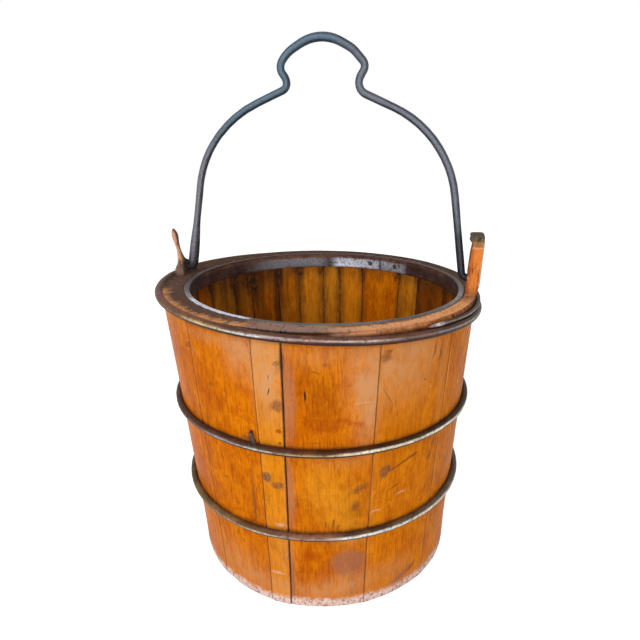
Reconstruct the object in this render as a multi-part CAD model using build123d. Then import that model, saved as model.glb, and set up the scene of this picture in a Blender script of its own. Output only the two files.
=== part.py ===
from build123d import *
from math import atan, cos, degrees, radians, sin, sqrt, tan
import os

# A coopered bucket of twenty uneven staves, with three round iron hoops, an iron band let into the
# mouth, and a forged bail whose bent ends turn in holes through two tall ear staves.
# Millimetres and degrees. Z is the bucket's axis, the foot stands on Z = 0, and the ears are on X.

# Staved wall: a straight cone outside, and an inside that was turned a little off its axis
foot_radius = 136.2
mouth_radius = 158.7
body_height = 293.0
wall_thickness = 19.5
inside_offset = 4.4
inside_offset_angle = 15.0
mouth_fall = 7.5
mouth_fall_angle = 15.0
mouth_bevel = 3.0
foot_bevel_height = 8.0
foot_bevel_depth = 1.4
foot_inner_bevel = 2.5
seam_gap = 0.16
open_seam_gap = 1.1

# Seams between staves, as angles from the right ear, counter-clockwise seen from above
seam_angles = (
    10.0, 27.5, 49.0, 61.0, 81.5, 94.0, 103.0, 116.0, 128.0, 144.0, 155.0, 172.5,
    187.5, 212.0, 236.5, 263.0, 271.8, 301.5, 331.4, 349.0,
)
left_ear_seam = seam_angles[11]
open_seam = seam_angles[16]
right_ear_seam = seam_angles[-1]

# Ears
ear_rise = 55.0
ear_root_depth = 24.0
ear_half_width = 18.0
ear_top_half_width = 15.5
ear_corner_radius = 7.0
ear_foot_fillet = 5.0
ear_blank_share = 1.2
right_ear_thickness = 12.0
right_ear_top_thickness = 11.0
right_ear_top_round = 2.5
left_ear_thickness = 5.0
left_ear_setback = 5.6

# Left ear, split and worn down to a finger over the pin's hole. Each row gives a height over the
# mouth as a share of the ear's rise, the front and rear sides as shares of the half width, how far
# the outer face stands in from the wall's cone as a share of the setback, and the thickness
left_ear_shares = (
    (0.245, 0.83, -0.72, 0.55, 1.56),
    (0.327, 0.79, -0.10, 0.91, 1.16),
    (0.369, 0.78, 0.17, 0.93, 1.12),
    (0.464, 0.73, 0.31, 1.00, 0.84),
    (0.545, 0.68, 0.37, 1.00, 0.72),
    (0.618, 0.66, 0.34, 0.83, 0.74),
    (0.735, 0.63, 0.23, 0.50, 0.88),
    (0.813, 0.61, 0.15, 0.30, 1.00),
    (0.873, 0.58, 0.17, 0.30, 0.88),
    (0.927, 0.50, 0.24, 0.36, 0.52),
)
left_ear_foot_share = 0.14
left_ear_foot_thickness_share = 2.0
left_ear_tip_shares = (0.96, 0.37, 0.57)

# Bottom: planks in a groove cut round the inside of the wall
chime_height = 20.0
board_thickness = 12.0
board_edge_thickness = 7.0
groove_depth = 5.0
groove_clearance = 0.15
board_gap = 0.2
board_split_shares = (-0.52, 0.03, 0.49)
dowel_diameter = 5.0
dowel_length = 26.0
dowel_place_shares = (-0.42, 0.38)
dowel_clearance = 0.08

# Split bamboo pegs that key the staves edge to edge
peg_width = 3.6
peg_length = 17.0
peg_clearance = 0.08
peg_height_shares = (0.27, 0.74)

# Round iron hoops: height of the centreline, or its drop below the mouth, how far the hoop falls
# across its width, and the low side
top_hoop_rod = 7.4
top_hoop_drop = 9.0
top_hoop_fall = 19.5
top_hoop_fall_angle = 27.8
middle_hoop_rod = 7.2
middle_hoop_height = 182.5
middle_hoop_fall = 6.4
middle_hoop_fall_angle = -23.7
lower_hoop_rod = 7.2
lower_hoop_height = 90.6
lower_hoop_fall = 3.4
lower_hoop_fall_angle = -94.4
hoop_clearance = 0.12

# Lap of the top hoop's drawn-out ends, and the turned-up end of the middle hoop
lap_start_angle = -41.0
lap_length_angle = 62.0
lap_gap = 0.35
lap_spans = 5
lap_point_length = 16.0
lap_point_share = 0.28
hoop_tip_angle = -99.0
hoop_tip_length = 13.0
hoop_tip_root_share = 0.4
hoop_tip_end_share = 0.2

# Iron band in the mouth, in three lengths, with a lip rolled out over the wood
band_inset = 21.4
band_height = 16.5
band_thickness = 3.0
lip_width = 5.2
lip_height = 3.0
band_clearance = 0.12
band_joint_gap = 0.4
band_joint_angles = (-106.0, -54.0, 72.0)
band_nail_diameter = 3.0
band_nail_head_diameter = 6.0
band_nail_head_height = 1.4
band_nail_length = 11.0
band_nail_shank_share = 0.6
band_nail_drop = 9.5
band_nail_inset_angle = 7.0

# Bail: one rod bent flat, from the pin in the left ear over the hand grip to the pin in the right ear
bail_rod = 7.2
bail_pivot_rise = 10.0
bail_leg_inset = 15.2
bail_rise = 219.8
bail_pin_clearance = 0.4
bail_pin_recess = 1.6
bail_foot_bend = 5.4

# Corners of the bail's centreline, as shares of the half span and of the rise over the pins, each
# with the length of its bend along a run, as a share of the shorter run beside it
bail_corner_shares = (
    (-0.842, 0.526, 0.53),
    (-0.578, 0.707, 0.46),
    (-0.186, 0.808, 0.61),
    (-0.202, 0.850, 0.27),
    (-0.252, 0.889, 0.71),
    (-0.185, 0.947, 0.40),
    (0.038, 1.027, 0.65),
    (0.251, 0.949, 0.25),
    (0.340, 0.883, 0.26),
    (0.256, 0.795, 0.56),
    (0.700, 0.660, 0.54),
    (0.905, 0.459, 0.44),
)

# One overrun for every cutting tool, and the widest step round the rim of a wedge
overrun = 20.0
wedge_step_angle = 45.0

wall_flare = (mouth_radius - foot_radius) / body_height
flare_angle = degrees(atan(wall_flare))
blank_height = body_height + ear_rise + overrun
top_hoop_height = body_height - top_hoop_drop
band_inner_radius = mouth_radius - band_inset
bail_pivot_height = body_height + bail_pivot_rise
bail_half_span = mouth_radius - bail_leg_inset


def wall_radius(height):
    """Outside radius of the wall's cone at a height."""
    return foot_radius + wall_flare * height


def inside_radius(height):
    """Inside radius of the wall at a height, about the inside's own axis."""
    return wall_radius(height) - wall_thickness


def polar(radius, angle, height=0.0):
    """Point at an angle round the bucket's axis."""
    return Vector(radius * cos(radians(angle)), radius * sin(radians(angle)), height)


def turned(points):
    """Solid turned round Z from the outline of its right half, given as radius and height."""
    return revolve(Plane.XZ * make_face(Polyline(*points, close=True)), Axis.Z)


def fallen_plane(height, fall, fall_angle, shift=0.0):
    """Plane across the bucket that is lower on one side, with its own X towards the low side."""
    tilt = atan(fall / (2 * mouth_radius))
    low = polar(1, fall_angle)
    x_dir = low * cos(tilt) - Vector(0, 0, 1) * sin(tilt)
    z_dir = low * sin(tilt) + Vector(0, 0, 1) * cos(tilt)
    return Plane(origin=low * shift + Vector(0, 0, height), x_dir=x_dir, z_dir=z_dir)


def sector(start, end, reach, bottom, top, gap=0.0):
    """Wedge between two angles, each side drawn in by half of a gap, as wide as that at the mouth."""
    trim = degrees(gap / 2 / mouth_radius)
    first, last = start + trim, end - trim
    steps = 1 + int((last - first) // wedge_step_angle)
    rim = [polar(reach, first + (last - first) * i / steps) for i in range(steps + 1)]
    outline = make_face(Polyline((0, 0), *[(p.X, p.Y) for p in rim], close=True))
    return Pos(0, 0, bottom) * extrude(outline, top - bottom)


inside_axis = Location(polar(inside_offset, inside_offset_angle))
mouth_plane = fallen_plane(body_height, mouth_fall, mouth_fall_angle)
band_plane = Plane(
    origin=mouth_plane.origin + polar(inside_offset, inside_offset_angle),
    x_dir=mouth_plane.x_dir,
    z_dir=mouth_plane.z_dir,
)
tool_reach = 2 * mouth_radius


def groove_outline():
    """Inside of the wall from the foot up, with the groove that holds the bottom."""
    flank = (board_thickness - board_edge_thickness) / 2
    low, high = chime_height, chime_height + board_thickness
    deep = inside_radius(low) + groove_depth
    return [
        (0, -overrun),
        (inside_radius(0) + foot_inner_bevel + overrun, -overrun),
        (inside_radius(0) + foot_inner_bevel, 0),
        (inside_radius(foot_inner_bevel), foot_inner_bevel),
        (inside_radius(low), low - groove_clearance),
        (deep, low + flank - groove_clearance),
        (deep, high - flank + groove_clearance),
        (inside_radius(high), high + groove_clearance),
        (inside_radius(blank_height), blank_height),
        (0, blank_height),
    ]


def wall_outline():
    """Outside of the wall as one turned blank, with the worn bevel at the foot."""
    return [
        (0, 0),
        (foot_radius - foot_bevel_depth, 0),
        (wall_radius(foot_bevel_height), foot_bevel_height),
        (wall_radius(blank_height), blank_height),
        (0, blank_height),
    ]


def mouth_tool():
    """What is taken off above the mouth, with the bevel round its outer edge."""
    edge = mouth_radius - mouth_bevel
    out = mouth_radius + overrun
    return mouth_plane.location * turned([
        (0, 0),
        (edge, 0),
        (out, edge - out),
        (out, ear_rise + 2 * overrun),
        (0, ear_rise + 2 * overrun),
    ])


def band_outline(clearance):
    """Section of the mouth band, or with a clearance the step cut for it in the wood."""
    back = band_inner_radius + band_thickness + clearance
    lip = band_inner_radius + lip_width + clearance
    return [
        (band_inner_radius, 0),
        (band_inner_radius, -band_height - clearance),
        (back, -band_height - clearance),
        (back, -lip_height - clearance),
        (lip, -lip_height - clearance),
        (lip, 0),
    ]


def band_step():
    """What is cut from the wood to let the mouth band in."""
    outline = band_outline(band_clearance)
    floor = outline[1][1]
    rim = outline[-1][0]
    return band_plane.location * turned([(0, overrun), (0, floor)] + outline[2:-1] + [(rim, overrun)])


def staved_wall():
    """The whole wall as one shell, before it is parted into staves."""
    wall = turned(wall_outline()) - inside_axis * turned(groove_outline())
    wall = wall - mouth_tool() - band_step()
    for tool in band_nail_solids(band_clearance):
        wall -= tool
    return wall


def peg_places():
    """Places of the pegs across every seam: angle of the seam and height."""
    return [(angle, share * body_height) for angle in seam_angles for share in peg_height_shares]


def peg(angle, height, clearance=0.0):
    """One square peg across a seam, in the middle of the wall's thickness."""
    width = peg_width + 2 * clearance
    middle = polar(wall_radius(height) - wall_thickness / 2, angle, height)
    return Pos(middle) * Rot(0, 0, angle) * Box(width, peg_length + 2 * clearance, width)


def stave(wall, start, end, start_gap, end_gap):
    """One stave cut from the wall between two seams, with the holes for its pegs."""
    trim = degrees((end_gap - start_gap) / 4 / mouth_radius)
    gap = (start_gap + end_gap) / 2
    piece = wall & sector(start - trim, end - trim, tool_reach, 0, body_height + overrun, gap)
    for angle, height in peg_places():
        if angle % 360 in (start % 360, end % 360):
            piece -= peg(angle, height, peg_clearance)
    return piece


def right_ear_face():
    """Front view of the right ear: filleted in from the mouth, then narrowing to a rounded top."""
    base = body_height - ear_root_depth
    foot = body_height + mouth_fall / 2
    top = body_height + ear_rise
    spread = ear_half_width + ear_foot_fillet
    lower = Polyline((0, base), (spread, base), (spread, foot))
    foot_arc = CenterArc((spread, foot + ear_foot_fillet), ear_foot_fillet, 270, -90)
    upper = Polyline((ear_half_width, foot + ear_foot_fillet), (ear_top_half_width, top), (0, top))
    middle = Line((0, top), (0, base))
    half = make_face(lower + foot_arc + upper + middle)
    corner = half.vertices().filter_by(lambda v: v.Y > top - ear_foot_fillet).sort_by(Axis.X)[-1]
    half = fillet(corner, ear_corner_radius)
    return half + mirror(half, Plane.YZ)


def right_ear_section():
    """Radial section of the right ear: square and blunt, following the wall's flare."""
    base = body_height - ear_root_depth
    top = body_height + ear_rise
    outer = wall_radius(top)
    inner = outer - right_ear_top_thickness
    face = make_face(Polyline(
        (wall_radius(base) - right_ear_thickness, base),
        (wall_radius(base), base),
        (outer, top),
        (inner, top),
        close=True,
    ))
    return fillet(face.vertices().sort_by(Axis.Y)[-2:], right_ear_top_round)


def left_ear_face():
    """Front view of the left ear: a foot round the pin's hole, and a finger at the front of it."""
    base = body_height - ear_root_depth
    foot = body_height + mouth_fall / 2
    side = ear_top_half_width
    spread = side + ear_foot_fillet
    front, rear = [(side, foot + ear_foot_fillet)], [(-side, foot + ear_foot_fillet)]
    for height_share, front_share, rear_share, setback_share, thickness_share in left_ear_shares:
        height = body_height + height_share * ear_rise
        front.append((front_share * ear_half_width, height))
        rear.append((rear_share * ear_half_width, height))
    top_share, middle_share, setback_share = left_ear_tip_shares
    tip = (middle_share * ear_half_width, body_height + top_share * ear_rise)
    lower = Polyline((-spread, foot), (-spread, base), (spread, base), (spread, foot))
    front_arc = CenterArc((spread, foot + ear_foot_fillet), ear_foot_fillet, 270, -90)
    rear_arc = CenterArc((-spread, foot + ear_foot_fillet), ear_foot_fillet, 270, 90)
    return make_face(lower + front_arc + Spline(*front, tip) + Spline(tip, *rear[::-1]) + rear_arc)


def left_ear_section():
    """Radial section of the left ear: thick at its foot, then worn thin behind the wall's line."""
    base = body_height - ear_root_depth
    foot = body_height + mouth_fall / 2
    outer_foot = wall_radius(foot) - mouth_bevel / 2
    bend = foot + ear_foot_fillet
    outer_bend = wall_radius(bend) - left_ear_setback * left_ear_foot_share
    inner_bend = outer_bend - left_ear_thickness * left_ear_foot_thickness_share
    outside, inside = [(outer_foot, foot - mouth_bevel), (outer_bend, bend)], [(inner_bend, bend)]
    for height_share, front_share, rear_share, setback_share, thickness_share in left_ear_shares:
        height = body_height + height_share * ear_rise
        outer = wall_radius(height) - left_ear_setback * setback_share
        outside.append((outer, height))
        inside.append((outer - left_ear_thickness * thickness_share, height))
    top_share, middle_share, setback_share = left_ear_tip_shares
    top = body_height + top_share * ear_rise
    tip = (wall_radius(top) - left_ear_setback * setback_share, top)
    sides = Polyline((inner_bend, bend), (inner_bend, base), (outer_foot - mouth_bevel, base), outside[0])
    return make_face(sides + Spline(*outside, tip) + Spline(tip, *inside[::-1]))


def ear(face, section, facing):
    """One ear, turned about the bucket's axis from its section and trimmed to its front view."""
    spread = degrees((ear_half_width + ear_foot_fillet) * ear_blank_share / mouth_radius)
    blank = Rot(0, 0, facing - spread) * revolve(Plane.XZ * section, Axis.Z, revolution_arc=2 * spread)
    front = extrude(Plane.YZ * face, wall_radius(blank_height))
    hole = Rot(0, 0, facing) * Pos(mouth_radius, 0, bail_pivot_height) * Rot(0, 90, 0) * Cylinder(
        bail_rod / 2 + bail_pin_clearance, 2 * wall_thickness)
    return blank & Rot(0, 0, facing) * front, hole


def ear_stave(wall, start, end, face, section, facing):
    """A stave whose top carries on above the mouth as an ear with the bail's hole."""
    piece = stave(wall, start, end, seam_gap, seam_gap)
    lug, hole = ear(face, section, facing)
    keep = sector(start, end, tool_reach, 0, blank_height, seam_gap)
    return piece + ((lug & keep) - band_step()) - hole


def board_outline():
    """Half section of the bottom disc, its edge thinned to fit the groove."""
    flank = (board_thickness - board_edge_thickness) / 2
    low, high = chime_height, chime_height + board_thickness
    rim = inside_radius(low) + groove_depth - groove_clearance
    return [
        (0, low),
        (inside_radius(low) - groove_clearance, low),
        (rim, low + flank),
        (rim, high - flank),
        (inside_radius(high) - groove_clearance, high),
        (0, high),
    ]


def dowel_places():
    """Centres of the dowels across the joints of the bottom boards."""
    reach = inside_radius(chime_height)
    middle = chime_height + board_thickness / 2
    places = []
    for split in board_split_shares:
        half_chord = reach * sqrt(1 - split ** 2)
        places += [(half_chord * share, reach * split, middle) for share in dowel_place_shares]
    return places


def dowel(place, clearance=0.0):
    """One round dowel across a joint of the bottom boards."""
    rod = Cylinder(dowel_diameter / 2 + clearance, dowel_length + 2 * clearance)
    return inside_axis * Pos(place) * Rot(90, 0, 0) * rod


def bottom_boards():
    """The bottom disc parted into planks, with dowel holes across the joints."""
    disc = turned(board_outline())
    reach = inside_radius(chime_height) + groove_depth
    cuts = [-reach - overrun] + [share * inside_radius(chime_height) for share in board_split_shares]
    cuts += [reach + overrun]
    boards = []
    for low, high in zip(cuts, cuts[1:]):
        width = high - low - board_gap
        slab = Pos(0, (low + high) / 2, 0) * Box(tool_reach, width, tool_reach)
        board = inside_axis * (disc & slab)
        for place in dowel_places():
            if low - overrun < place[1] < high + overrun:
                board -= dowel(place, dowel_clearance)
        boards.append(board)
    return boards


def hoop_seat(height, rod, fall):
    """Centreline radius of a hoop that bears on the wall at its mean height, allowing for its fall."""
    tilt = atan(fall / (2 * mouth_radius))
    bearing = rod / 2 / cos(radians(flare_angle)) + hoop_clearance
    return (wall_radius(height) + bearing) / cos(tilt)


def hoop_plane(height, fall, fall_angle):
    """Plane of a fallen hoop, shifted up the slope so that it bears evenly on the cone."""
    tilt = atan(fall / (2 * mouth_radius))
    return fallen_plane(height, fall, fall_angle, -wall_flare * wall_radius(height) * tan(tilt))


def closed_hoop(height, rod, fall, fall_angle):
    """A welded round hoop."""
    ring = Torus(hoop_seat(height, rod, fall), rod / 2)
    return hoop_plane(height, fall, fall_angle).location * ring


def turned_up_tip():
    """Drawn-out end of the middle hoop, bent up against the staves."""
    root = middle_hoop_rod * hoop_tip_root_share
    end = middle_hoop_rod * hoop_tip_end_share
    stand = wall_radius(middle_hoop_height) + root + hoop_clearance
    lean = Rot(0, flare_angle, 0)
    place = Rot(0, 0, hoop_tip_angle) * Pos(stand, 0, middle_hoop_height) * lean
    spike = Pos(0, 0, hoop_tip_length / 2) * Cone(root, end, hoop_tip_length)
    return place * (spike + Pos(0, 0, hoop_tip_length) * Sphere(end))


def lap_point(turn):
    """Point on the top hoop's centreline, and its direction, after some degrees from the visible end."""
    radius = hoop_seat(top_hoop_height, top_hoop_rod, top_hoop_fall)
    step = top_hoop_rod + lap_gap
    drop = step * turn / 360
    angle = lap_start_angle - top_hoop_fall_angle + turn
    widened = radius + wall_flare * (step - drop)
    slope = -step / radians(360)
    direction = Vector(-widened * sin(radians(angle)), widened * cos(radians(angle)), slope)
    return polar(widened, angle, step - drop), direction.normalized()


def joining_arcs(start, start_dir, end, end_dir):
    """Two arcs, tangent to each other, between two points with given directions."""
    chord = end - start
    along = chord.dot(start_dir + end_dir)
    spare = 2 * (1 - start_dir.dot(end_dir))
    reach = (-along + sqrt(along ** 2 + spare * chord.dot(chord))) / spare
    middle = (start + start_dir * reach + end - end_dir * reach) * 0.5
    return [
        TangentArc(start, middle, tangent=start_dir),
        TangentArc(end, middle, tangent=end_dir * -1),
    ]


def lapped_hoop():
    """The top hoop: one rod wound a little more than once round, its ends lying one over the other."""
    total = 360 + lap_length_angle
    stations = [lap_point(total * i / lap_spans) for i in range(lap_spans + 1)]
    arcs = []
    for (start, start_dir), (end, end_dir) in zip(stations, stations[1:]):
        arcs += joining_arcs(start, start_dir, end, end_dir)
    first, first_dir = stations[0]
    rod = sweep(Plane(origin=first, z_dir=first_dir) * Circle(top_hoop_rod / 2), path=Wire(
        [arc.edge() for arc in arcs]))
    last, last_dir = stations[-1]
    point = rod
    for place, direction in ((first, first_dir * -1), (last, last_dir)):
        point_end = top_hoop_rod / 2 * lap_point_share
        taper = Pos(0, 0, lap_point_length / 2) * Cone(top_hoop_rod / 2, point_end, lap_point_length)
        point += Plane(origin=place, z_dir=direction).location * (
            taper + Pos(0, 0, lap_point_length) * Sphere(point_end))
    return hoop_plane(top_hoop_height, top_hoop_fall, top_hoop_fall_angle).location * point


def band_pieces():
    """The three lengths of the mouth band, drilled for their nails."""
    ring = band_plane.location * turned(band_outline(0))
    angles = list(band_joint_angles) + [band_joint_angles[0] + 360]
    low, high = body_height - 2 * band_height, body_height + band_height
    pieces = []
    for start, end in zip(angles, angles[1:]):
        piece = ring & sector(start, end, tool_reach, low, high, band_joint_gap)
        for tool in band_nail_solids(band_clearance):
            piece -= tool
        pieces.append(piece)
    return pieces


def band_nail_angles():
    """Angles of the nails, one near each end of each length of band."""
    angles = []
    for joint in band_joint_angles:
        angles += [joint - band_nail_inset_angle, joint + band_nail_inset_angle]
    return angles


def band_nail_solids(clearance=0.0):
    """Short countersunk nails driven outwards through the band, or the holes they need."""
    shank_radius = band_nail_diameter / 2 + clearance
    head_radius = band_nail_head_diameter / 2 + clearance
    outline = [
        (0, 0),
        (head_radius, 0),
        (shank_radius, band_nail_head_height),
        (shank_radius, band_nail_length * band_nail_shank_share),
        (0, band_nail_length),
    ]
    nail = Rot(0, 90, 0) * turned(outline)
    solids = []
    for angle in band_nail_angles():
        seat = Rot(0, 0, angle - mouth_fall_angle) * Pos(band_inner_radius, 0, -band_nail_drop)
        solids.append(band_plane.location * seat * nail)
    return solids


def bend_radius(before, corner, after, share):
    """Radius of a bend that takes up a share of the shorter run beside its corner."""
    run_in, run_out = corner - before, after - corner
    along = min(run_in.length, run_out.length) * share
    return along / tan(radians(run_in.get_angle(run_out) / 2))


def bail_path():
    """Centreline of the bail in the plane of the ears, as straight runs joined by arcs."""
    pin_end = wall_radius(bail_pivot_height) - bail_pin_recess
    points = [Vector(-pin_end, bail_pivot_height), Vector(-bail_half_span, bail_pivot_height)]
    for x_share, z_share, bend_share in bail_corner_shares:
        points.append(Vector(x_share * bail_half_span, bail_pivot_height + z_share * bail_rise))
    points += [Vector(bail_half_span, bail_pivot_height), Vector(pin_end, bail_pivot_height)]
    bends = [bail_foot_bend]
    for i, (x_share, z_share, bend_share) in enumerate(bail_corner_shares, 2):
        bends.append(bend_radius(points[i - 1], points[i], points[i + 1], bend_share))
    return Plane.XZ * FilletPolyline(*points, radius=bends + [bail_foot_bend])


def bail():
    """The bail, swept along its centreline."""
    path = bail_path()
    start = path @ 0
    return sweep(Plane(origin=start, z_dir=path % 0) * Circle(bail_rod / 2), path=path)


def export(shape, name):
    """Write one sub-part."""
    shape.label = name
    export_step(shape, os.path.join("parts", name + ".step"))


os.makedirs("parts", exist_ok=True)

wall = staved_wall()
stave_count = 0
for start, end in zip(seam_angles, seam_angles[1:] + (seam_angles[0] + 360,)):
    if start == left_ear_seam:
        lug_shape = left_ear_face(), left_ear_section()
        export(ear_stave(wall, start, end, *lug_shape, 180.0), "ear_stave_left")
    elif start == right_ear_seam:
        lug_shape = right_ear_face(), right_ear_section()
        export(ear_stave(wall, start, end, *lug_shape, 0.0), "ear_stave_right")
    else:
        stave_count += 1
        start_gap = open_seam_gap if start == open_seam else seam_gap
        end_gap = open_seam_gap if end == open_seam else seam_gap
        export(stave(wall, start, end, start_gap, end_gap), f"stave_{stave_count:02d}")

export(Compound(children=[peg(angle, height) for angle, height in peg_places()]), "stave_pegs")

for number, board in enumerate(bottom_boards(), 1):
    export(board, f"bottom_board_{number}")
export(Compound(children=[dowel(place) for place in dowel_places()]), "board_dowels")

export(lapped_hoop(), "top_hoop")
export(
    closed_hoop(middle_hoop_height, middle_hoop_rod, middle_hoop_fall, middle_hoop_fall_angle)
    + turned_up_tip(),
    "middle_hoop",
)
export(
    closed_hoop(lower_hoop_height, lower_hoop_rod, lower_hoop_fall, lower_hoop_fall_angle),
    "lower_hoop",
)

for name, length in zip(("front", "right", "left"), band_pieces()):
    export(length, "mouth_band_" + name)
export(Compound(children=band_nail_solids()), "band_nails")

export(bail(), "bail")
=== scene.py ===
from math import atan, cos, pi, radians, sin, sqrt, tan

import bmesh
import bpy
import numpy as np
from mathutils import Matrix, Vector


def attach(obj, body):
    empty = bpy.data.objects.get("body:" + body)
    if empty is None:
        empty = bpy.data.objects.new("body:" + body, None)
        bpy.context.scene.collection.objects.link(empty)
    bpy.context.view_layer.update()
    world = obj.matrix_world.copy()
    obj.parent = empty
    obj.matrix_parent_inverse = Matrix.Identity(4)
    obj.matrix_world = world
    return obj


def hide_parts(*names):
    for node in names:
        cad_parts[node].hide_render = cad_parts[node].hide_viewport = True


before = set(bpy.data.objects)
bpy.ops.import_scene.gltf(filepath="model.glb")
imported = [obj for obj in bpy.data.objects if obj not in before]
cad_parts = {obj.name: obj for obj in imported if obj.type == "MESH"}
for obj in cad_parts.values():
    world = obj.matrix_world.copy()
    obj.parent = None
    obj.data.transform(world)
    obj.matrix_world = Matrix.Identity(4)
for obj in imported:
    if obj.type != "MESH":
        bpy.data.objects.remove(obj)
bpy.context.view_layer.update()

# A coopered bucket. Metres and degrees. Z is the bucket's axis and the ears are on X.
# Angles go counter-clockwise seen from above, from the right ear.

# Staved wall
foot_radius = 0.1362
mouth_radius = 0.1587
body_height = 0.293
wall_thickness = 0.0195
inside_offset = 0.0044
inside_angle = 15.0
mouth_fall = 0.0075
mouth_fall_angle = 15.0
mouth_bevel = 0.003
foot_bevel_height = 0.005
foot_bevel_depth = 0.0005
foot_inner_bevel = 0.0025
foot_flare = 0.0016
foot_flare_height = 0.050

# Each seam: its angle at half height, how far it turns from the mouth to the foot, its width at the
# mouth and at the foot, and how far its edges are rounded, as a share of the full easing
seams = (
    (10.0, 0.4, 0.0003, 0.0003, 0.7), (27.5, -0.5, 0.0003, 0.0003, 0.8), (49.0, 0.3, 0.0003, 0.0003, 0.8),
    (61.0, 0.5, 0.0004, 0.0003, 0.9), (81.5, -0.3, 0.0003, 0.0003, 0.8), (94.0, 0.2, 0.0002, 0.0003, 0.8),
    (103.0, 0.5, 0.0001, 0.0002, 0.6), (116.0, -0.4, 0.0002, 0.0003, 0.8),
    (128.0, 0.6, 0.0005, 0.0004, 1.0), (144.0, 0.3, 0.0004, 0.0003, 0.9),
    (155.0, -0.5, 0.0003, 0.0003, 0.8), (172.5, 0.3, 0.0003, 0.0003, 0.8),
    (187.5, -0.4, 0.0003, 0.0003, 0.8), (212.0, -0.8, 0.0003, 0.0003, 0.8),
    (236.5, -2.0, 0.0003, 0.0003, 0.9), (263.0, -1.9, 0.0002, 0.0003, 0.9),
    (271.8, -3.2, 0.0009, 0.0005, 1.0), (301.5, -3.1, 0.0002, 0.0002, 0.7),
    (331.4, -1.8, 0.0003, 0.0003, 0.9), (349.0, -0.6, 0.0003, 0.0003, 0.7),
)
# The seams close up inside the wall to this share of their width
seam_inner_share = 0.04
right_ear_stave = 19
left_ear_stave = 11

# Each stave from the first seam on: how light it is, how red it is, and how far it stands proud
stave_tones = (
    (-0.5, 0.5, 0.0001), (-0.4, 0.4, -0.0002), (0.00, -0.5, 0.0002), (0.3, 0.0, 0.0),
    (0.95, -0.6, 0.0003), (0.15, -0.6, -0.0002), (0.1, -0.5, 0.0001), (-0.05, -0.3, -0.0001),
    (-0.32, -0.1, 0.0002), (-0.3, -0.4, 0.0), (-0.2, -0.6, -0.0001), (-0.2, 0.2, 0.0),
    (-0.1, 0.1, 0.0001), (0.08, 0.00, -0.0001), (0.04, 0.0, 0.0), (1.00, -0.9, 0.0007),
    (-0.05, -0.1, 0.0), (0.55, -0.3, 0.0002), (0.2, -0.3, 0.0001), (0.0, 0.0, 0.0),
)

# Bottom
chime_height = 0.020
board_thickness = 0.012
board_edge_thickness = 0.007
groove_depth = 0.005
groove_clearance = 0.00015
board_split_shares = (-0.52, 0.03, 0.49)
board_gap = 0.0004

# How deep into the wood a mark's colour reaches
mark_depth = 0.006

# Ears
ear_rise = 0.055
ear_root_depth = 0.010
ear_half_width = 0.018
ear_top_half_width = 0.0155
ear_foot_fillet = 0.005
ear_corner = 0.007
left_ear_thickness = 0.005
left_ear_setback = 0.0056

# Right ear: height, inner and outer radius; its top is worn round and hooks inwards
right_ear_rows = (
    (0.2830, 0.1472, 0.1570), (0.2900, 0.1478, 0.1585), (0.2945, 0.1482, 0.1598), (0.2990, 0.1486, 0.1608),
    (0.3030, 0.1489, 0.1611), (0.3100, 0.1494, 0.1615), (0.3170, 0.1500, 0.1619), (0.3240, 0.1506, 0.1623),
    (0.3310, 0.1513, 0.1627), (0.3350, 0.1518, 0.1629), (0.3378, 0.1520, 0.1629), (0.3398, 0.1515, 0.1628),
    (0.3412, 0.1504, 0.1628), (0.3425, 0.1495, 0.1627), (0.3438, 0.1493, 0.1624), (0.3450, 0.1498, 0.1617),
    (0.3460, 0.1510, 0.1605),
)

# Left ear, split and worn down to a finger over the pin's hole. Each row gives a height over the
# mouth as a share of the ear's rise, the front and rear sides as shares of the half width, how far
# the outer face stands in from the wall's cone as a share of the setback, and the thickness
left_ear_shares = (
    (-0.18, 1.02, -1.02, 0.45, 1.80), (-0.06, 1.04, -1.04, 0.38, 1.85), (0.05, 1.06, -1.06, 0.24, 1.95),
    (0.075, 1.02, -1.02, 0.20, 2.00), (0.11, 0.93, -0.92, 0.16, 2.00), (0.164, 0.87, -0.86, 0.14, 2.00),
    (0.205, 0.85, -0.80, 0.32, 1.80), (0.245, 0.83, -0.68, 0.55, 1.56), (0.285, 0.81, -0.42, 0.76, 1.32),
    (0.327, 0.79, -0.08, 0.91, 1.16), (0.369, 0.78, 0.17, 0.95, 1.10), (0.415, 0.755, 0.26, 0.98, 0.96),
    (0.464, 0.73, 0.31, 1.00, 0.84), (0.505, 0.705, 0.345, 1.01, 0.76), (0.545, 0.68, 0.37, 1.00, 0.72),
    (0.618, 0.66, 0.34, 0.83, 0.74), (0.68, 0.645, 0.285, 0.66, 0.81), (0.735, 0.63, 0.23, 0.50, 0.88),
    (0.775, 0.62, 0.185, 0.39, 0.95), (0.813, 0.61, 0.15, 0.30, 1.00), (0.845, 0.60, 0.15, 0.29, 0.96),
    (0.873, 0.58, 0.165, 0.30, 0.88), (0.90, 0.545, 0.195, 0.33, 0.74), (0.927, 0.50, 0.24, 0.38, 0.56),
    (0.945, 0.46, 0.285, 0.45, 0.38), (0.957, 0.41, 0.34, 0.53, 0.18),
)

# Iron band in the mouth, in three lengths
band_inner_radius = 0.1373
band_height = 0.0165
band_thickness = 0.003
lip_width = 0.0052
lip_height = 0.003
band_clearance = 0.0002
band_joints = (-106.0, -54.0, 72.0)
band_joint_gap = 0.0004
band_edge_round = 0.0007

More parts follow.
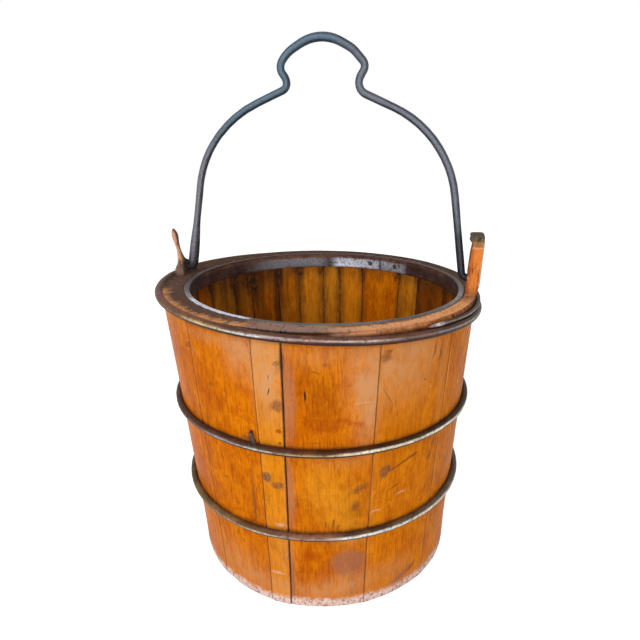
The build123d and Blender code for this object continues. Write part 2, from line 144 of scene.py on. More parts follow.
# The band's lip: angle, how bright it is rubbed, and the colour of the rest
lip_shine = (
    (-180, 0.00, 0.07, 0.05, 0.04), (-165, 0.06, 0.08, 0.06, 0.05), (-148, 0.12, 0.12, 0.1, 0.085),
    (-139, 0.3, 0.14, 0.13, 0.13), (-135, 0.9, 0.14, 0.13, 0.13), (-104, 0.92, 0.14, 0.13, 0.13),
    (-101, 0.75, 0.12, 0.11, 0.1), (-99.5, 0.05, 0.07, 0.062, 0.05), (-80, 0.06, 0.1, 0.095, 0.078),
    (-54, 0.1, 0.11, 0.105, 0.088), (-50, 0.06, 0.05, 0.045, 0.038), (-30, 0.08, 0.09, 0.084, 0.07),
    (-16, 0.2, 0.12, 0.11, 0.095), (-6, 0.35, 0.12, 0.11, 0.095), (8, 0.1, 0.1, 0.08, 0.065),
    (20, 0.02, 0.09, 0.048, 0.036), (180, 0.00, 0.07, 0.04, 0.03),
)

# Round iron hoops: rod, height, fall across the bucket's width, the low side, and how far the rod has
# pressed into the staves
top_hoop = (0.0074, 0.284, 0.0195, 27.8, 0.0004)
middle_hoop = (0.0072, 0.1825, 0.0064, -23.7, 0.0010)
lower_hoop = (0.0072, 0.0906, 0.0034, -94.4, 0.0006)
hoops = (top_hoop, middle_hoop, lower_hoop)
lap_start = -41.0
lap_length = 62.0
lap_gap = 0.00035
lap_point_length = 0.016
lap_point_share = 0.28
lap_taper = ((0.0, 0.16), (0.004, 0.36), (0.016, 0.52), (0.060, 0.56), (0.120, 0.66), (0.175, 1.0))
hoop_tip_angle = -98.3
hoop_tip_length = 0.015

# Bail
bail_rod = 0.0072
bail_pivot_height = 0.303
bail_half_span = 0.1435
bail_rise = 0.2198
bail_pin_clearance = 0.0004
bail_pin_recess = 0.0016
bail_foot_bend = 0.0054
bail_foot_swell = 0.50
bail_corner_shares = (
    (-0.842, 0.526, 0.53), (-0.578, 0.707, 0.46), (-0.186, 0.808, 0.61), (-0.202, 0.850, 0.27),
    (-0.252, 0.889, 0.71), (-0.185, 0.947, 0.40), (0.038, 1.027, 0.65), (0.251, 0.949, 0.25),
    (0.340, 0.883, 0.26), (0.256, 0.795, 0.56), (0.700, 0.660, 0.54), (0.905, 0.459, 0.44),
)

# Camera, fitted to the rings of the bucket in a square picture
camera_place = (0.1473, -0.5517, 0.4407)
camera_turn = 15.0
camera_side = 270 + camera_turn
camera_pitch = 18.47
camera_roll = -1.324
camera_focal_share = 0.8812
sensor_width = 36.0

wall_flare = (mouth_radius - foot_radius) / body_height
flare_angle = atan(wall_flare)


def wall_radius(height):
    """Outside radius of the wall at a height."""
    return foot_radius + wall_flare * height


def inside_radius(height):
    """Inside radius of the wall at a height, about the inside's own axis."""
    return wall_radius(height) - wall_thickness


def off_axis(angle, radius):
    """Distance from the bucket's axis to a circle about the inside's axis. Angles in radians."""
    turn = angle - radians(inside_angle)
    return inside_offset * np.cos(turn) + np.sqrt(radius ** 2 - (inside_offset * np.sin(turn)) ** 2)


def mouth_height(angle, radius):
    """Height of the tilted mouth at an angle in radians and a radius."""
    slope = mouth_fall / (2 * mouth_radius)
    return body_height - slope * radius * np.cos(angle - radians(mouth_fall_angle))


def hoop_height(hoop, angle):
    """Height of a hoop's centreline at an angle in degrees."""
    rod, height, fall, low_side, bite = hoop
    return height - fall / 2 * np.cos(np.radians(angle - low_side))


def lattice(ix, iy, seed):
    """A repeatable number from 0 to 1 for each lattice point."""
    value = np.sin(ix * 127.1 + iy * 311.7 + seed * 74.7) * 43758.5453
    return value - np.floor(value)


def ripple(x, y, seed=0):
    """Smooth noise from -1 to 1 over a plane, with bumps one unit wide."""
    ix, iy = np.floor(x), np.floor(y)
    fx, fy = x - ix, y - iy
    fx, fy = fx * fx * (3 - 2 * fx), fy * fy * (3 - 2 * fy)
    low = lattice(ix, iy, seed) * (1 - fx) + lattice(ix + 1, iy, seed) * fx
    high = lattice(ix, iy + 1, seed) * (1 - fx) + lattice(ix + 1, iy + 1, seed) * fx
    return 2 * (low * (1 - fy) + high * fy) - 1


def rough(x, y, seed=0, octaves=3):
    """Several sizes of ripple laid over each other."""
    total, weight = 0, 0
    for k in range(octaves):
        total = total + ripple(x * 2 ** k, y * 2 ** k, seed + 17 * k) / 2 ** k
        weight += 1 / 2 ** k
    return total / weight


def soft_step(low, high, value):
    """0 below low, 1 above high, smooth between them."""
    t = np.clip((value - low) / (high - low), 0, 1)
    return t * t * (3 - 2 * t)


def bell(away, width):
    """A smooth hump: 1 at no distance, falling to 0 over about twice the width."""
    return np.exp(-(away / width) ** 2)


def polar(radius, angle, height):
    """A point from its distance to the axis, its angle in radians and its height."""
    return Vector((radius * cos(angle), radius * sin(angle), height))


def angle_gap(angle, other):
    """Signed difference of two angles in degrees, from -180 to 180."""
    return (angle - other + 180) % 360 - 180


def mesh_object(name, points, faces, sharp=38.0):
    """A new mesh object, smooth except at sharp edges."""
    mesh = bpy.data.meshes.new(name)
    mesh.from_pydata([tuple(p) for p in points], [], faces)
    mesh.validate()
    bm = bmesh.new()
    bm.from_mesh(mesh)
    bmesh.ops.recalc_face_normals(bm, faces=bm.faces)
    bm.to_mesh(mesh)
    bm.free()
    mesh.polygons.foreach_set("use_smooth", [True] * len(mesh.polygons))
    mesh.set_sharp_from_angle(angle=radians(sharp))
    obj = bpy.data.objects.new(name, mesh)
    bpy.context.scene.collection.objects.link(obj)
    return obj


def write_attribute(obj, name, values):
    """Store one number, or one vector, for each vertex."""
    values = np.asarray(values, np.float32)
    kind, field = ("FLOAT_VECTOR", "vector") if values.ndim == 2 else ("FLOAT", "value")
    layer = obj.data.attributes.new(name, kind, "POINT")
    layer.data.foreach_set(field, values.ravel())


def write_attributes(obj, **layers):
    """Store several layers of numbers or vectors."""
    for name, values in layers.items():
        write_attribute(obj, name, values)


def vertex_places(obj, field="co"):
    """All vertices of an object, or their normals, as an array."""
    places = np.empty(len(obj.data.vertices) * 3, np.float32)
    obj.data.vertices.foreach_get(field, places)
    return places.reshape(-1, 3).astype(float)


def circle(count):
    """Evenly spread angles of a full turn."""
    return 2 * pi * np.arange(count) / count


def tinted(color, other, share):
    """One colour turned towards another by a share for each vertex."""
    share = share[:, None]
    return np.array(color) * (1 - share) + np.array(other) * share


def finish_piece(obj, body, slot, material, *nodes):
    """Put a piece on its body and in place of the solids it stands for."""
    obj.data.materials.clear()
    obj.data.materials.append(material)
    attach(obj, body)
    if nodes:
        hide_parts(*nodes)
    return obj


class Paint:
    """Short names for building the nodes of a material, or of another owner of nodes."""

    def __init__(self, name, owner=None):
        self.owner = bpy.data.materials.new(name) if owner is None else owner
        self.owner.use_nodes = True
        self.tree = self.owner.node_tree

    def node(self, kind, inputs, **settings):
        made = self.tree.nodes.new("ShaderNode" + kind)
        for key, value in settings.items():
            setattr(made, key, value)
        for key, value in inputs.items():
            self.link(value, made.inputs[key])
        return made.outputs

    def link(self, value, socket):
        if isinstance(value, bpy.types.NodeSocket):
            self.tree.links.new(value, socket)
        else:
            socket.default_value = value

    def attribute(self, name, output="Fac"):
        return self.node("Attribute", {}, attribute_name=name)[output]

    def vector(self, operation, *inputs):
        return self.node("VectorMath", dict(enumerate(inputs)), operation=operation)

    def noise(self, vector, scale=1.0, detail=3.0, roughness=0.55, distortion=0.0, output="Fac"):
        look = {"Scale": scale, "Detail": detail, "Roughness": roughness, "Distortion": distortion}
        return self.node("TexNoise", {"Vector": vector, **look})[output]

    def stretched(self, vector, scale, *look):
        return self.noise(self.vector("MULTIPLY", vector, scale)[0], 1.0, *look)

    def math(self, operation, a, b=0.0, clamp=False):
        return self.node("Math", {0: a, 1: b}, operation=operation, use_clamp=clamp)[0]

    def times(self, a, b, clamp=False):
        return self.math("MULTIPLY", a, b, clamp)

    def spread(self, value, low, high, to_low=0.0, to_high=1.0):
        ends = {"From Min": low, "From Max": high, "To Min": to_low, "To Max": to_high}
        return self.node("MapRange", {"Value": value, **ends}, interpolation_type="SMOOTHSTEP")[0]

    def mix(self, share, a, b, blend="MIX"):
        return self.node("Mix", {0: share, 6: a, 7: b}, data_type="RGBA", blend_type=blend)[2]

    def bump(self, height, strength, distance, below=None):
        inputs = {"Strength": strength, "Distance": distance, "Height": height}
        if below is not None:
            inputs["Normal"] = below
        return self.node("Bump", inputs)[0]

    def finish(self, color, roughness, normal, **plain):
        inputs = self.tree.nodes["Principled BSDF"].inputs
        self.link(color, inputs["Base Color"])
        self.link(roughness, inputs["Roughness"])
        self.link(normal, inputs["Normal"])
        for name, value in plain.items():
            self.link(value, inputs[name.replace("_", " ")])
        return self.owner


def tint(red, green, blue):
    """A colour with full alpha."""
    return (red, green, blue, 1.0)


golden = tint(0.82, 0.235, 0.002)
amber = tint(0.66, 0.150, 0.001)
deep = tint(0.44, 0.080, 0.001)
russet = tint(0.32, 0.045, 0.001)
straw = tint(0.84, 0.330, 0.020)
olive = tint(0.52, 0.190, 0.008)
aged_and_shaded_brown = tint(0.075, 0.028, 0.008)
fade_and_sheen_pink = tint(0.68, 0.32, 0.130)
bare_wood = tint(0.86, 0.64, 0.56)
bare_shadow = tint(0.42, 0.24, 0.19)
soot_and_shade = tint(0.030, 0.017, 0.012)
raw_orange = tint(1.00, 0.36, 0.06)

# Kinds of marks on the varnish: colour, strength, how soft the edge is, how ragged the outline is
mark_kinds = {
    "slit": (tint(0.030, 0.012, 0.008), 0.92, 0.45, 0.0006),
    "line": (tint(0.15, 0.050, 0.016), 0.70, 0.60, 0.0012),
    "pale_line": (tint(0.80, 0.46, 0.27), 0.50, 0.60, 0.0012),
    # A painted highlight along a stave's eased edge where it faces the light
    "painted_edge_highlight": (tint(0.88, 0.34, 0.09), 0.75, 0.70, 0.0008),
    "drip": (tint(0.34, 0.070, 0.004), 0.80, 0.35, 0.0005),
    "red": (tint(0.42, 0.060, 0.003), 0.66, 1.00, 0.0090),
    "brown": (tint(0.15, 0.060, 0.030), 0.70, 0.85, 0.0060),
    "purple": (tint(0.38, 0.150, 0.085), 0.85, 0.50, 0.0070),
    "pink": (tint(0.50, 0.190, 0.085), 0.85, 0.80, 0.0050),
    "pale": (tint(0.82, 0.52, 0.38), 0.60, 0.90, 0.0080),
    "grey": (tint(0.10, 0.055, 0.040), 0.75, 0.80, 0.0030),
    "knot": (tint(0.10, 0.045, 0.028), 0.92, 0.50, 0.0045),
    "knot_wash": (tint(0.42, 0.150, 0.050), 0.45, 0.80, 0.0040),
}

# Marks: kind, angle, height, half length, half width, and the long way's slope in degrees
marks = (
    ("slit", -80.3, 0.2357, 0.0055, 0.001, 92), ("slit", -91.6, 0.2385, 0.0042, 0.0006, 74),
    ("line", -91.3, 0.252, 0.003, 0.0005, 76), ("knot_wash", -89.2, 0.2253, 0.009, 0.0075, 10),
    ("knot", -89.0, 0.2253, 0.0072, 0.0066, 10), ("knot", -88.4, 0.265, 0.004, 0.003, 40),
    ("knot_wash", -88.4, 0.259, 0.007, 0.003, 80), ("pink", -94.2, 0.2243, 0.005, 0.0016, 80),
    ("purple", -95.2, 0.15, 0.0062, 0.0048, 100), ("knot", -95.0, 0.15, 0.006, 0.0048, 100),
    ("knot_wash", -91.3, 0.143, 0.008, 0.0055, 0), ("knot", -91.3, 0.143, 0.0075, 0.0045, 0),
    ("drip", -89.3, 0.2007, 0.003, 0.0024, 0), ("drip", -89.3, 0.1885, 0.0018, 0.0017, 0),
    ("knot_wash", -53.5, 0.1522, 0.01, 0.0075, 60), ("knot", -53.5, 0.1522, 0.0085, 0.0065, 60),
    ("line", -46.6, 0.156, 0.02, 0.0014, 19), ("line", -41.5, 0.16, 0.007, 0.0016, 10),
    ("brown", -62.6, 0.1385, 0.012, 0.0044, 24), ("brown", -63.9, 0.1203, 0.007, 0.005, 70),
    ("brown", -31.6, 0.164, 0.008, 0.003, 80), ("brown", -33.2, 0.15, 0.0085, 0.0034, 75),
    ("knot", -124.1, 0.2643, 0.006, 0.0036, 30), ("pink", -121.0, 0.262, 0.011, 0.0018, -38),
    ("knot", -114.6, 0.2327, 0.0026, 0.0022, 0), ("line", -77.0, 0.2575, 0.0048, 0.0006, -16),
    ("red", -73.2, 0.205, 0.018, 0.005, 4), ("red", -70.6, 0.211, 0.015, 0.003, 0),
    ("purple", -66.2, 0.054, 0.02, 0.0185, -3), ("pink", -85.7, 0.23, 0.05, 0.0078, 89),
    ("pink", -87.2, 0.135, 0.045, 0.006, 90), ("purple", -88.7, 0.04, 0.04, 0.0034, 92),
    ("pale", -94.4, 0.0385, 0.008, 0.0022, -4), ("pale", -91.5, 0.0985, 0.007, 0.0018, -2),
    ("brown", -55.4, 0.2655, 0.008, 0.005, 10), ("brown", -54.6, 0.271, 0.006, 0.003, 10),
    ("line", -54.1, 0.229, 0.011, 0.0005, 120), ("line", -39.7, 0.2358, 0.0015, 0.0011, 0),
    ("line", -52.6, 0.216, 0.006, 0.0005, 78), ("grey", -86.9, 0.266, 0.014, 0.003, 92),
    ("pale_line", -62.0, 0.2265, 0.012, 0.0006, 0), ("pale", -56.5, 0.11, 0.006, 0.0018, 14),
    ("pale", -46.0, 0.123, 0.008, 0.0014, 16), ("line", -49.5, 0.132, 0.009, 0.0007, 22),
    ("line", -76.8, 0.19, 0.01, 0.0004, 0), ("red", -64.6, 0.207, 0.012, 0.003, -12),
    ("red", -79.0, 0.248, 0.005, 0.003, 70), ("line", -74.8, 0.101, 0.005, 0.0009, 95),
    ("line", -72.0, 0.103, 0.006, 0.0011, 85), ("line", -70.4, 0.0985, 0.0035, 0.0009, 60),
    ("brown", -74.0, 0.264, 0.0035, 0.002, 60), ("purple", -43.0, 0.0165, 0.02, 0.004, 13),
    ("brown", -36.8, 0.0215, 0.009, 0.0032, 32), ("grey", -33.2, 0.258, 0.012, 0.0018, 80),
    ("brown", -36.4, 0.262, 0.011, 0.0018, 78), ("pale", -36.6, 0.2276, 0.0022, 0.0015, 0),
    ("pale", -17.6, 0.2125, 0.0022, 0.0015, 0), ("brown", -101.5, 0.12, 0.05, 0.0022, 90),
    # The bright edges are painted highlights along stave edges
    ("red", -80.5, 0.064, 0.015, 0.008, 0), ("painted_edge_highlight", -58.5, 0.135, 0.033, 0.0009, 87.2),
    ("painted_edge_highlight", -27.5, 0.228, 0.042, 0.0014, 85.5), ("painted_edge_highlight", -28.2, 0.14, 0.033, 0.0014, 85.5),
    ("painted_edge_highlight", -96.3, 0.23, 0.038, 0.0011, 90.7), ("grey", -101.2, 0.1885, 0.0068, 0.0022, -10),
    ("painted_edge_highlight", -58.9, 0.075, 0.025, 0.0007, 87.2),
)


def wall_arc(angle, height):
    """Distance round the wall from the side that faces the camera, for an angle in degrees."""
    return np.radians((angle + 360) % 360 - camera_side) * wall_radius(height)


def mark_mask(p, wall, ragged_wall, mark):
    """How much of a mark's colour shows at each point of the wall."""
    kind, angle, height, half_length, half_width, slope = mark
    color, strength, softness, ragged = mark_kinds[kind]
    moved = p.vector("MULTIPLY_ADD", ragged_wall, (ragged, ragged, 0), wall)[0]
    place = p.node("Mapping", {
        "Vector": moved, "Location": (float(wall_arc(angle, height)), height, 0),
        "Rotation": (0, 0, radians(slope)), "Scale": (half_length, half_width, mark_depth),
    }, vector_type="TEXTURE")[0]
    away = p.vector("LENGTH", place)["Value"]
    return p.spread(away, 1.0 + 0.2 * softness, 1.0 - 0.9 * softness, 0.0, strength)


def add_marks(p, wall, color):
    """Lay every mark over the varnish; knots also swirl."""
    ragged = p.noise(wall, 160, 3.0, 0.5, 0.0, "Color")
    ragged = p.vector("SUBTRACT", ragged, (0.5, 0.5, 0.5))[0]
    swirl = p.noise(wall, 300, 2.0, 0.6, 3.0)
    swirl = p.spread(p.math("ABSOLUTE", p.math("SUBTRACT", swirl, 0.5)), 0.070, 0.020)
    mottle = p.spread(p.noise(wall, 500, 3.0, 0.6), 0.30, 0.60, 0.45, 1.0)
    for mark in marks:
        mask = mark_mask(p, wall, ragged, mark)
        if mark[0] == "knot":
            mask = p.times(mask, p.math("ADD", p.times(swirl, 0.85), 0.15))
        if mark[0] in ("purple", "brown", "pink", "red", "grey"):
            mask = p.times(mask, mottle)
        color = p.mix(mask, color, mark_kinds[mark[0]][0])
    return color


def varnished_wood():
    """Old varnish over vertical grain, faded and given a painted sheen at the seams and in patches,
    worn through at the edges, with dirt and with painted light and shade.
    """
    p = Paint("varnished_wood")
    grain, wall = p.attribute("grain", "Vector"), p.attribute("wall", "Vector")
    light, red = p.attribute("light"), p.attribute("red")
    haze, wear, grime = p.attribute("haze"), p.attribute("wear"), p.attribute("grime")
    chip, rim, rim_color = p.attribute("chip"), p.attribute("rim"), p.attribute("rim_color", "Color")

    clouds = p.stretched(grain, (75, 38, 75), 5.0, 0.62, 0.4)
    hairs = p.stretched(grain, (640, 10, 640), 3.0, 0.55, 0.2)
    dapple = p.stretched(grain, (300, 150, 300), 4.0, 0.7, 0.3)
    broad = p.stretched(grain, (26, 12, 26), 3.0, 0.6)
    streaks = p.stretched(grain, (260, 9, 260), 4.0, 0.6, 0.3)
    fibres = p.stretched(grain, (820, 13, 820), 3.0, 0.6)
    flecks = p.stretched(grain, (330, 120, 330), 4.0, 0.65, 0.6)
    specks = p.stretched(grain, (520, 380, 520), 2.0, 0.5)
    blots = p.stretched(grain, (120, 95, 120), 3.0, 0.6, 0.5)

    color = p.mix(p.spread(clouds, 0.38, 0.62), amber, golden)
    coats = (
        (broad, 0.46, 0.64, 0.45, deep), (streaks, 0.52, 0.78, 0.30, deep),
        (streaks, 0.46, 0.26, 0.35, golden), (fibres, 0.50, 0.68, 0.50, deep),
        (fibres, 0.50, 0.32, 0.40, golden), (flecks, 0.52, 0.68, 0.40, russet),
        (blots, 0.60, 0.74, 0.42, russet), (blots, 0.42, 0.28, 0.55, golden),
        (specks, 0.67, 0.78, 0.50, aged_and_shaded_brown),
    )
    for noise, low, high, strength, tone in coats:
        color = p.mix(p.times(p.spread(noise, low, high), strength), color, tone)
    color = p.mix(p.spread(red, 0.0, 1.0, 0.0, 0.55), color, russet)
    yellowed = p.mix(p.spread(clouds, 0.2, 0.6), olive, straw)
    color = p.mix(p.spread(red, 0.0, -1.0, 0.0, 0.85), color, yellowed)
    # Lightness turns the colour golden or dark brown: each stave's tone, with painted light and painted
    # shade
    color = p.mix(p.spread(light, 0.0, 1.0, 0.0, 0.55), color, golden)
    color = p.mix(p.spread(light, 0.0, -1.0, 0.0, 0.92), color, aged_and_shaded_brown)
    darker = p.mix(1.0, color, tint(0.66, 0.56, 0.50), "MULTIPLY")
    color = p.mix(p.times(p.spread(hairs, 0.50, 0.64), 0.60), color, darker)
    color = p.mix(p.times(p.spread(dapple, 0.50, 0.66), 0.50), color, darker)
    # Faded varnish and painted sheen, a painted reflection, turn the colour pink in patches
    patch = p.stretched(grain, (110, 60, 110), 5.0, 0.68)
    fade_and_sheen_mask = p.times(haze, p.spread(patch, 0.28, 0.60, 0.35, 1.0), True)
    color = p.mix(fade_and_sheen_mask, color, fade_and_sheen_pink)
    color = add_marks(p, wall, color)
    grit = p.stretched(grain, (330, 260, 330), 4.0, 0.65)
    dry = p.mix(p.spread(grit, 0.46, 0.66), bare_wood, bare_shadow)
    color = p.mix(wear, color, dry)
    cracks = p.stretched(grain, (420, 60, 420), 4.0, 0.65, 0.3)
    cracked = p.mix(1.0, rim_color, tint(0.42, 0.36, 0.32), "MULTIPLY")
    old = p.mix(p.spread(cracks, 0.52, 0.66), rim_color, cracked)
    pale = p.mix(0.45, rim_color, tint(0.85, 0.68, 0.60))
    old = p.mix(p.times(p.spread(grit, 0.42, 0.30), 0.75), old, pale)
    color = p.mix(rim, color, old)
    torn = p.mix(p.spread(grit, 0.49, 0.41, 0.0, 0.95), raw_orange, tint(0.95, 0.74, 0.60))
    torn = p.mix(p.spread(cracks, 0.55, 0.64, 0.0, 0.7), torn, tint(0.42, 0.10, 0.015))
    color = p.mix(chip, color, torn)
    # Dirt and painted shade turn the colour towards soot
    dirt = p.stretched(grain, (300, 200, 300), 3.0, 0.6)
    dirt_and_shade = p.times(grime, p.spread(dirt, 0.25, 0.6, 0.6, 1.0), True)
    color = p.mix(dirt_and_shade, color, soot_and_shade)

    dull = p.math("MAXIMUM", p.math("MAXIMUM", wear, rim), dirt_and_shade)
    roughness = p.spread(dull, 0.0, 1.0, 0.36, 0.75)
    roughness = p.math("ADD", roughness, p.spread(clouds, 0.3, 0.7, -0.05, 0.08))
    normal = p.bump(fibres, 0.22, 0.0004)
    normal = p.bump(streaks, 0.22, 0.0010, normal)
    normal = p.bump(p.math("ADD", flecks, specks), 0.14, 0.0004, normal)
    return p.finish(color, roughness, normal, Specular_IOR_Level=0.015)


def dark_iron(name, shadow, dull_metal, metal, gloss, pitted, scale):
    """Forged iron: scale and rust, bright where rubbed and where a highlight is painted, as an
    attribute says, and darkened where the shaded attribute paints shade.
    """
    p = Paint(name)
    place = p.attribute("along", "Vector")
    worn, shaded = p.attribute("worn"), p.attribute("shaded")
    blotch = p.noise(place, 45.0 * scale, 4.0, 0.65)
    pits = p.noise(place, 380.0 * scale, 3.0, 0.6)
    grit = p.noise(place, 1300.0 * scale, 2.0, 0.6)
    base, bright = p.attribute("base", "Color"), p.attribute("bright", "Color")
    blotched = p.mix(p.spread(blotch, 0.36, 0.66), tint(0.65, 0.62, 0.60), tint(1.35, 1.25, 1.15))
    color = p.mix(1.0, base, blotched, "MULTIPLY")
    color = p.mix(p.times(p.spread(pits, 0.52, 0.68), pitted), color, shadow)
    color = p.mix(p.times(p.spread(grit, 0.64, 0.76), 0.6 * pitted), color, bright)
    color = p.mix(shaded, color, shadow)
    # Rubbing and painted highlights brighten the colour alike
    rub_and_highlight = p.times(worn, p.spread(pits, 0.66, 0.48, 1.0 - 0.75 * pitted, 1.0), True)
    color = p.mix(rub_and_highlight, color, bright)
    uneven = p.math("ADD", blotch, p.times(grit, 0.4))
    roughness = p.spread(uneven, 0.45, 0.95, gloss, gloss + 0.20)
    normal = p.bump(pits, 0.55 * pitted, 0.0006)
    normal = p.bump(grit, 0.30 * pitted, 0.0003, normal)
    metallic = p.spread(rub_and_highlight, 0.0, 0.6, dull_metal, metal)
    glint = p.spread(rub_and_highlight, 0.0, 0.6, 0.10, 0.5)
    return p.finish(color, roughness, normal, Metallic=metallic, Specular_IOR_Level=glint)


def plain_iron(name, base):
    """Small dark iron parts with no wear of their own."""
    p = Paint(name)
    place = p.node("TexCoord", {})["Object"]
    pits = p.noise(place, 600.0, 3.0, 0.6)
    color = p.mix(p.spread(pits, 0.45, 0.65), base, soot_and_shade)
    return p.finish(color, 0.5, p.bump(pits, 0.4, 0.0003), Metallic=0.6)


def dull_wood(name, base, dark):
    """Plain old wood where varnish never reached."""
    p = Paint(name)
    grain = p.attribute("grain", "Vector")
    streaks = p.stretched(grain, (30, 300, 300), 4.0, 0.6, 0.3)
    fibres = p.stretched(grain, (80, 1500, 1500), 3.0, 0.6)
    color = p.mix(p.spread(streaks, 0.35, 0.68), base, dark)
    color = p.mix(p.times(p.spread(fibres, 0.45, 0.75), 0.5), color, dark)
    normal = p.bump(fibres, 0.35, 0.0004)
    return p.finish(color, 0.68, normal, Specular_IOR_Level=0.3)


def hidden_wood(name, base, dark):
    """Split bamboo or dowel rod, sealed inside the joints."""
    p = Paint(name)
    place = p.node("TexCoord", {})["Object"]
    fibres = p.stretched(place, (900, 900, 60), 3.0, 0.6)
    color = p.mix(p.spread(fibres, 0.35, 0.7), base, dark)
    return p.finish(color, 0.7, p.bump(fibres, 0.3, 0.0003))


def seam_angle(index, height):
    """Angle of a seam, in degrees, at a height."""
    angle, lean, mouth_width, foot_width, ease = seams[index % len(seams)]
    wander = 0.10 * ripple(height / 0.045, np.zeros_like(height) + index, 3)
    return angle + lean * (height / body_height - 0.5) * -1 + wander


rim_wear_seed, worn_left = 5, -128
wall_row_count, inner_row_count = 112, 84


def rim_chip(angle):
    """How deep the mouth's outer edge is chipped and rubbed away, for angles in degrees."""
    around = radians(1) * angle * mouth_radius
    base = 0.0006 + 0.0009 * np.maximum(rough(around / 0.016, 0 * angle, rim_wear_seed), 0)
    bites = 0.0022 * np.maximum(rough(around / 0.007, 0 * angle + 4.5, rim_wear_seed + 1) - 0.25, 0)
    near_left = bell(angle_gap(angle, worn_left), 28)
    return base + bites * (1 + 3.0 * near_left) + 0.0022 * near_left


def foot_chip(angle):
    """How deep the foot's outer edge is worn away."""
    around = radians(1) * angle * foot_radius
    base = 0.0003 * (1 + rough(around / 0.022, 0 * angle, 9))
    bites = 0.0012 * np.maximum(rough(around / 0.009, 0 * angle + 2.5, 11) - 0.2, 0)
    near_left = bell(angle_gap(angle, worn_left), 30)
    return base + bites + 0.0006 * near_left


def wall_rows(angle_deg):
    """The wall's radial section at each angle, as rows of radius, height and side, from the foot up
    the outside, over the mouth, down the inside and back to the foot."""
    angle = np.radians(angle_deg)
    top = mouth_height(angle, mouth_radius)
    foot_wear, chip = foot_chip(angle_deg), rim_chip(angle_deg)
    rows = []

    def row(radius, height, side):
        rows.append((radius + 0 * angle, height + 0 * angle, side))

    for t in np.arange(5) / 5:
        depth = (foot_bevel_depth + foot_wear) * (1 - t) ** 2
        row(wall_radius(foot_bevel_height * t) - depth, foot_bevel_height * t, "outer")
    low, high = foot_bevel_height, top - mouth_bevel * 1.3 - 0.002
    for t in np.linspace(0, 1, wall_row_count + 1):
        row(wall_radius(low + (high - low) * t), low + (high - low) * t, "outer")
    bevel = mouth_bevel * (0.6 + 0.7 * bell(angle_gap(angle_deg, -35), 50)) + chip
    for turn in (15, 30, 45, 60, 75, 90):
        out = wall_radius(top) - bevel * (1 - cos(radians(90 - turn)))
        row(out, top - bevel * (1 - sin(radians(turn))), "outer")
    seat = top - lip_height - band_clearance
    lip = off_axis(angle, band_inner_radius + lip_width + band_clearance)
    back = off_axis(angle, band_inner_radius + band_thickness + band_clearance)
    inner_top = off_axis(angle, inside_radius(body_height - band_height))
    edge = wall_radius(top) - bevel
    hollow = 0.0006 * rough(angle_deg / 4.0, 0 * angle, 21)
    for share in (0.2, 0.45, 0.7, 0.9):
        row(edge + (lip - edge) * share, top + hollow * sin(pi * share), "top")
    row(lip + 0.0003, top - 0.0001, "top")
    row(lip, top - 0.0006, "step")
    row(lip, seat, "step")
    row(back, seat, "step")
    row(back, top - band_height - band_clearance, "step")
    row(inner_top, top - band_height - band_clearance, "inner")
    floor = chime_height + board_thickness + groove_clearance
    start = top - band_height - band_clearance
    for t in np.arange(1, inner_row_count + 1) / inner_row_count:
        height = start + (floor - start) * t
        row(off_axis(angle, inside_radius(height)), height, "inner")
    flank = (board_thickness - board_edge_thickness) / 2
    deep = inside_radius(chime_height) + groove_depth
    row(off_axis(angle, deep), floor - flank, "groove")
    row(off_axis(angle, deep), chime_height + flank - groove_clearance, "groove")
    row(off_axis(angle, inside_radius(chime_height)), chime_height - groove_clearance, "inner")
    for height in (0.014, 0.008, foot_inner_bevel):
        row(off_axis(angle, inside_radius(height)), height, "inner")
    row(off_axis(angle, inside_radius(0) + foot_inner_bevel), 0.0, "foot")
    middle = (off_axis(angle, inside_radius(0) + foot_inner_bevel) + rows[0][0]) / 2
    row(middle, 0.0, "foot")
    return rows


def seam_trim(index, height):
    """Half of a seam's width at a height, as an angle in degrees."""
    angle, lean, mouth_width, foot_width, ease = seams[index % len(seams)]
    width = foot_width + (mouth_width - foot_width) * height / body_height
    width = width * (1 - 0.7 * soft_step(0.278, 0.290, height))
    return np.degrees(width / 2 / wall_radius(height))


def stave_angles(index, height, opening=1.0):
    """Angles of a stave's two sides at a height, its share of the gap taken off, in degrees."""
    start, end = seam_angle(index, height), seam_angle(index + 1, height)
    if index + 1 == len(seams):
        end = end + 360
    return start + opening * seam_trim(index, height), end - opening * seam_trim(index + 1, height)


edge_steps = (0.0, 0.0002, 0.0005, 0.0009, 0.0015, 0.0024)
ease_outer, ease_inner = 0.0008, 0.0007
stave_step = 0.0024


def edge_ease(distance, radius):
    """How far a face drops away near an edge that is rounded to a radius."""
    return radius * (1 - np.sqrt(1 - np.clip(1 - distance / radius, 0, 1) ** 2))


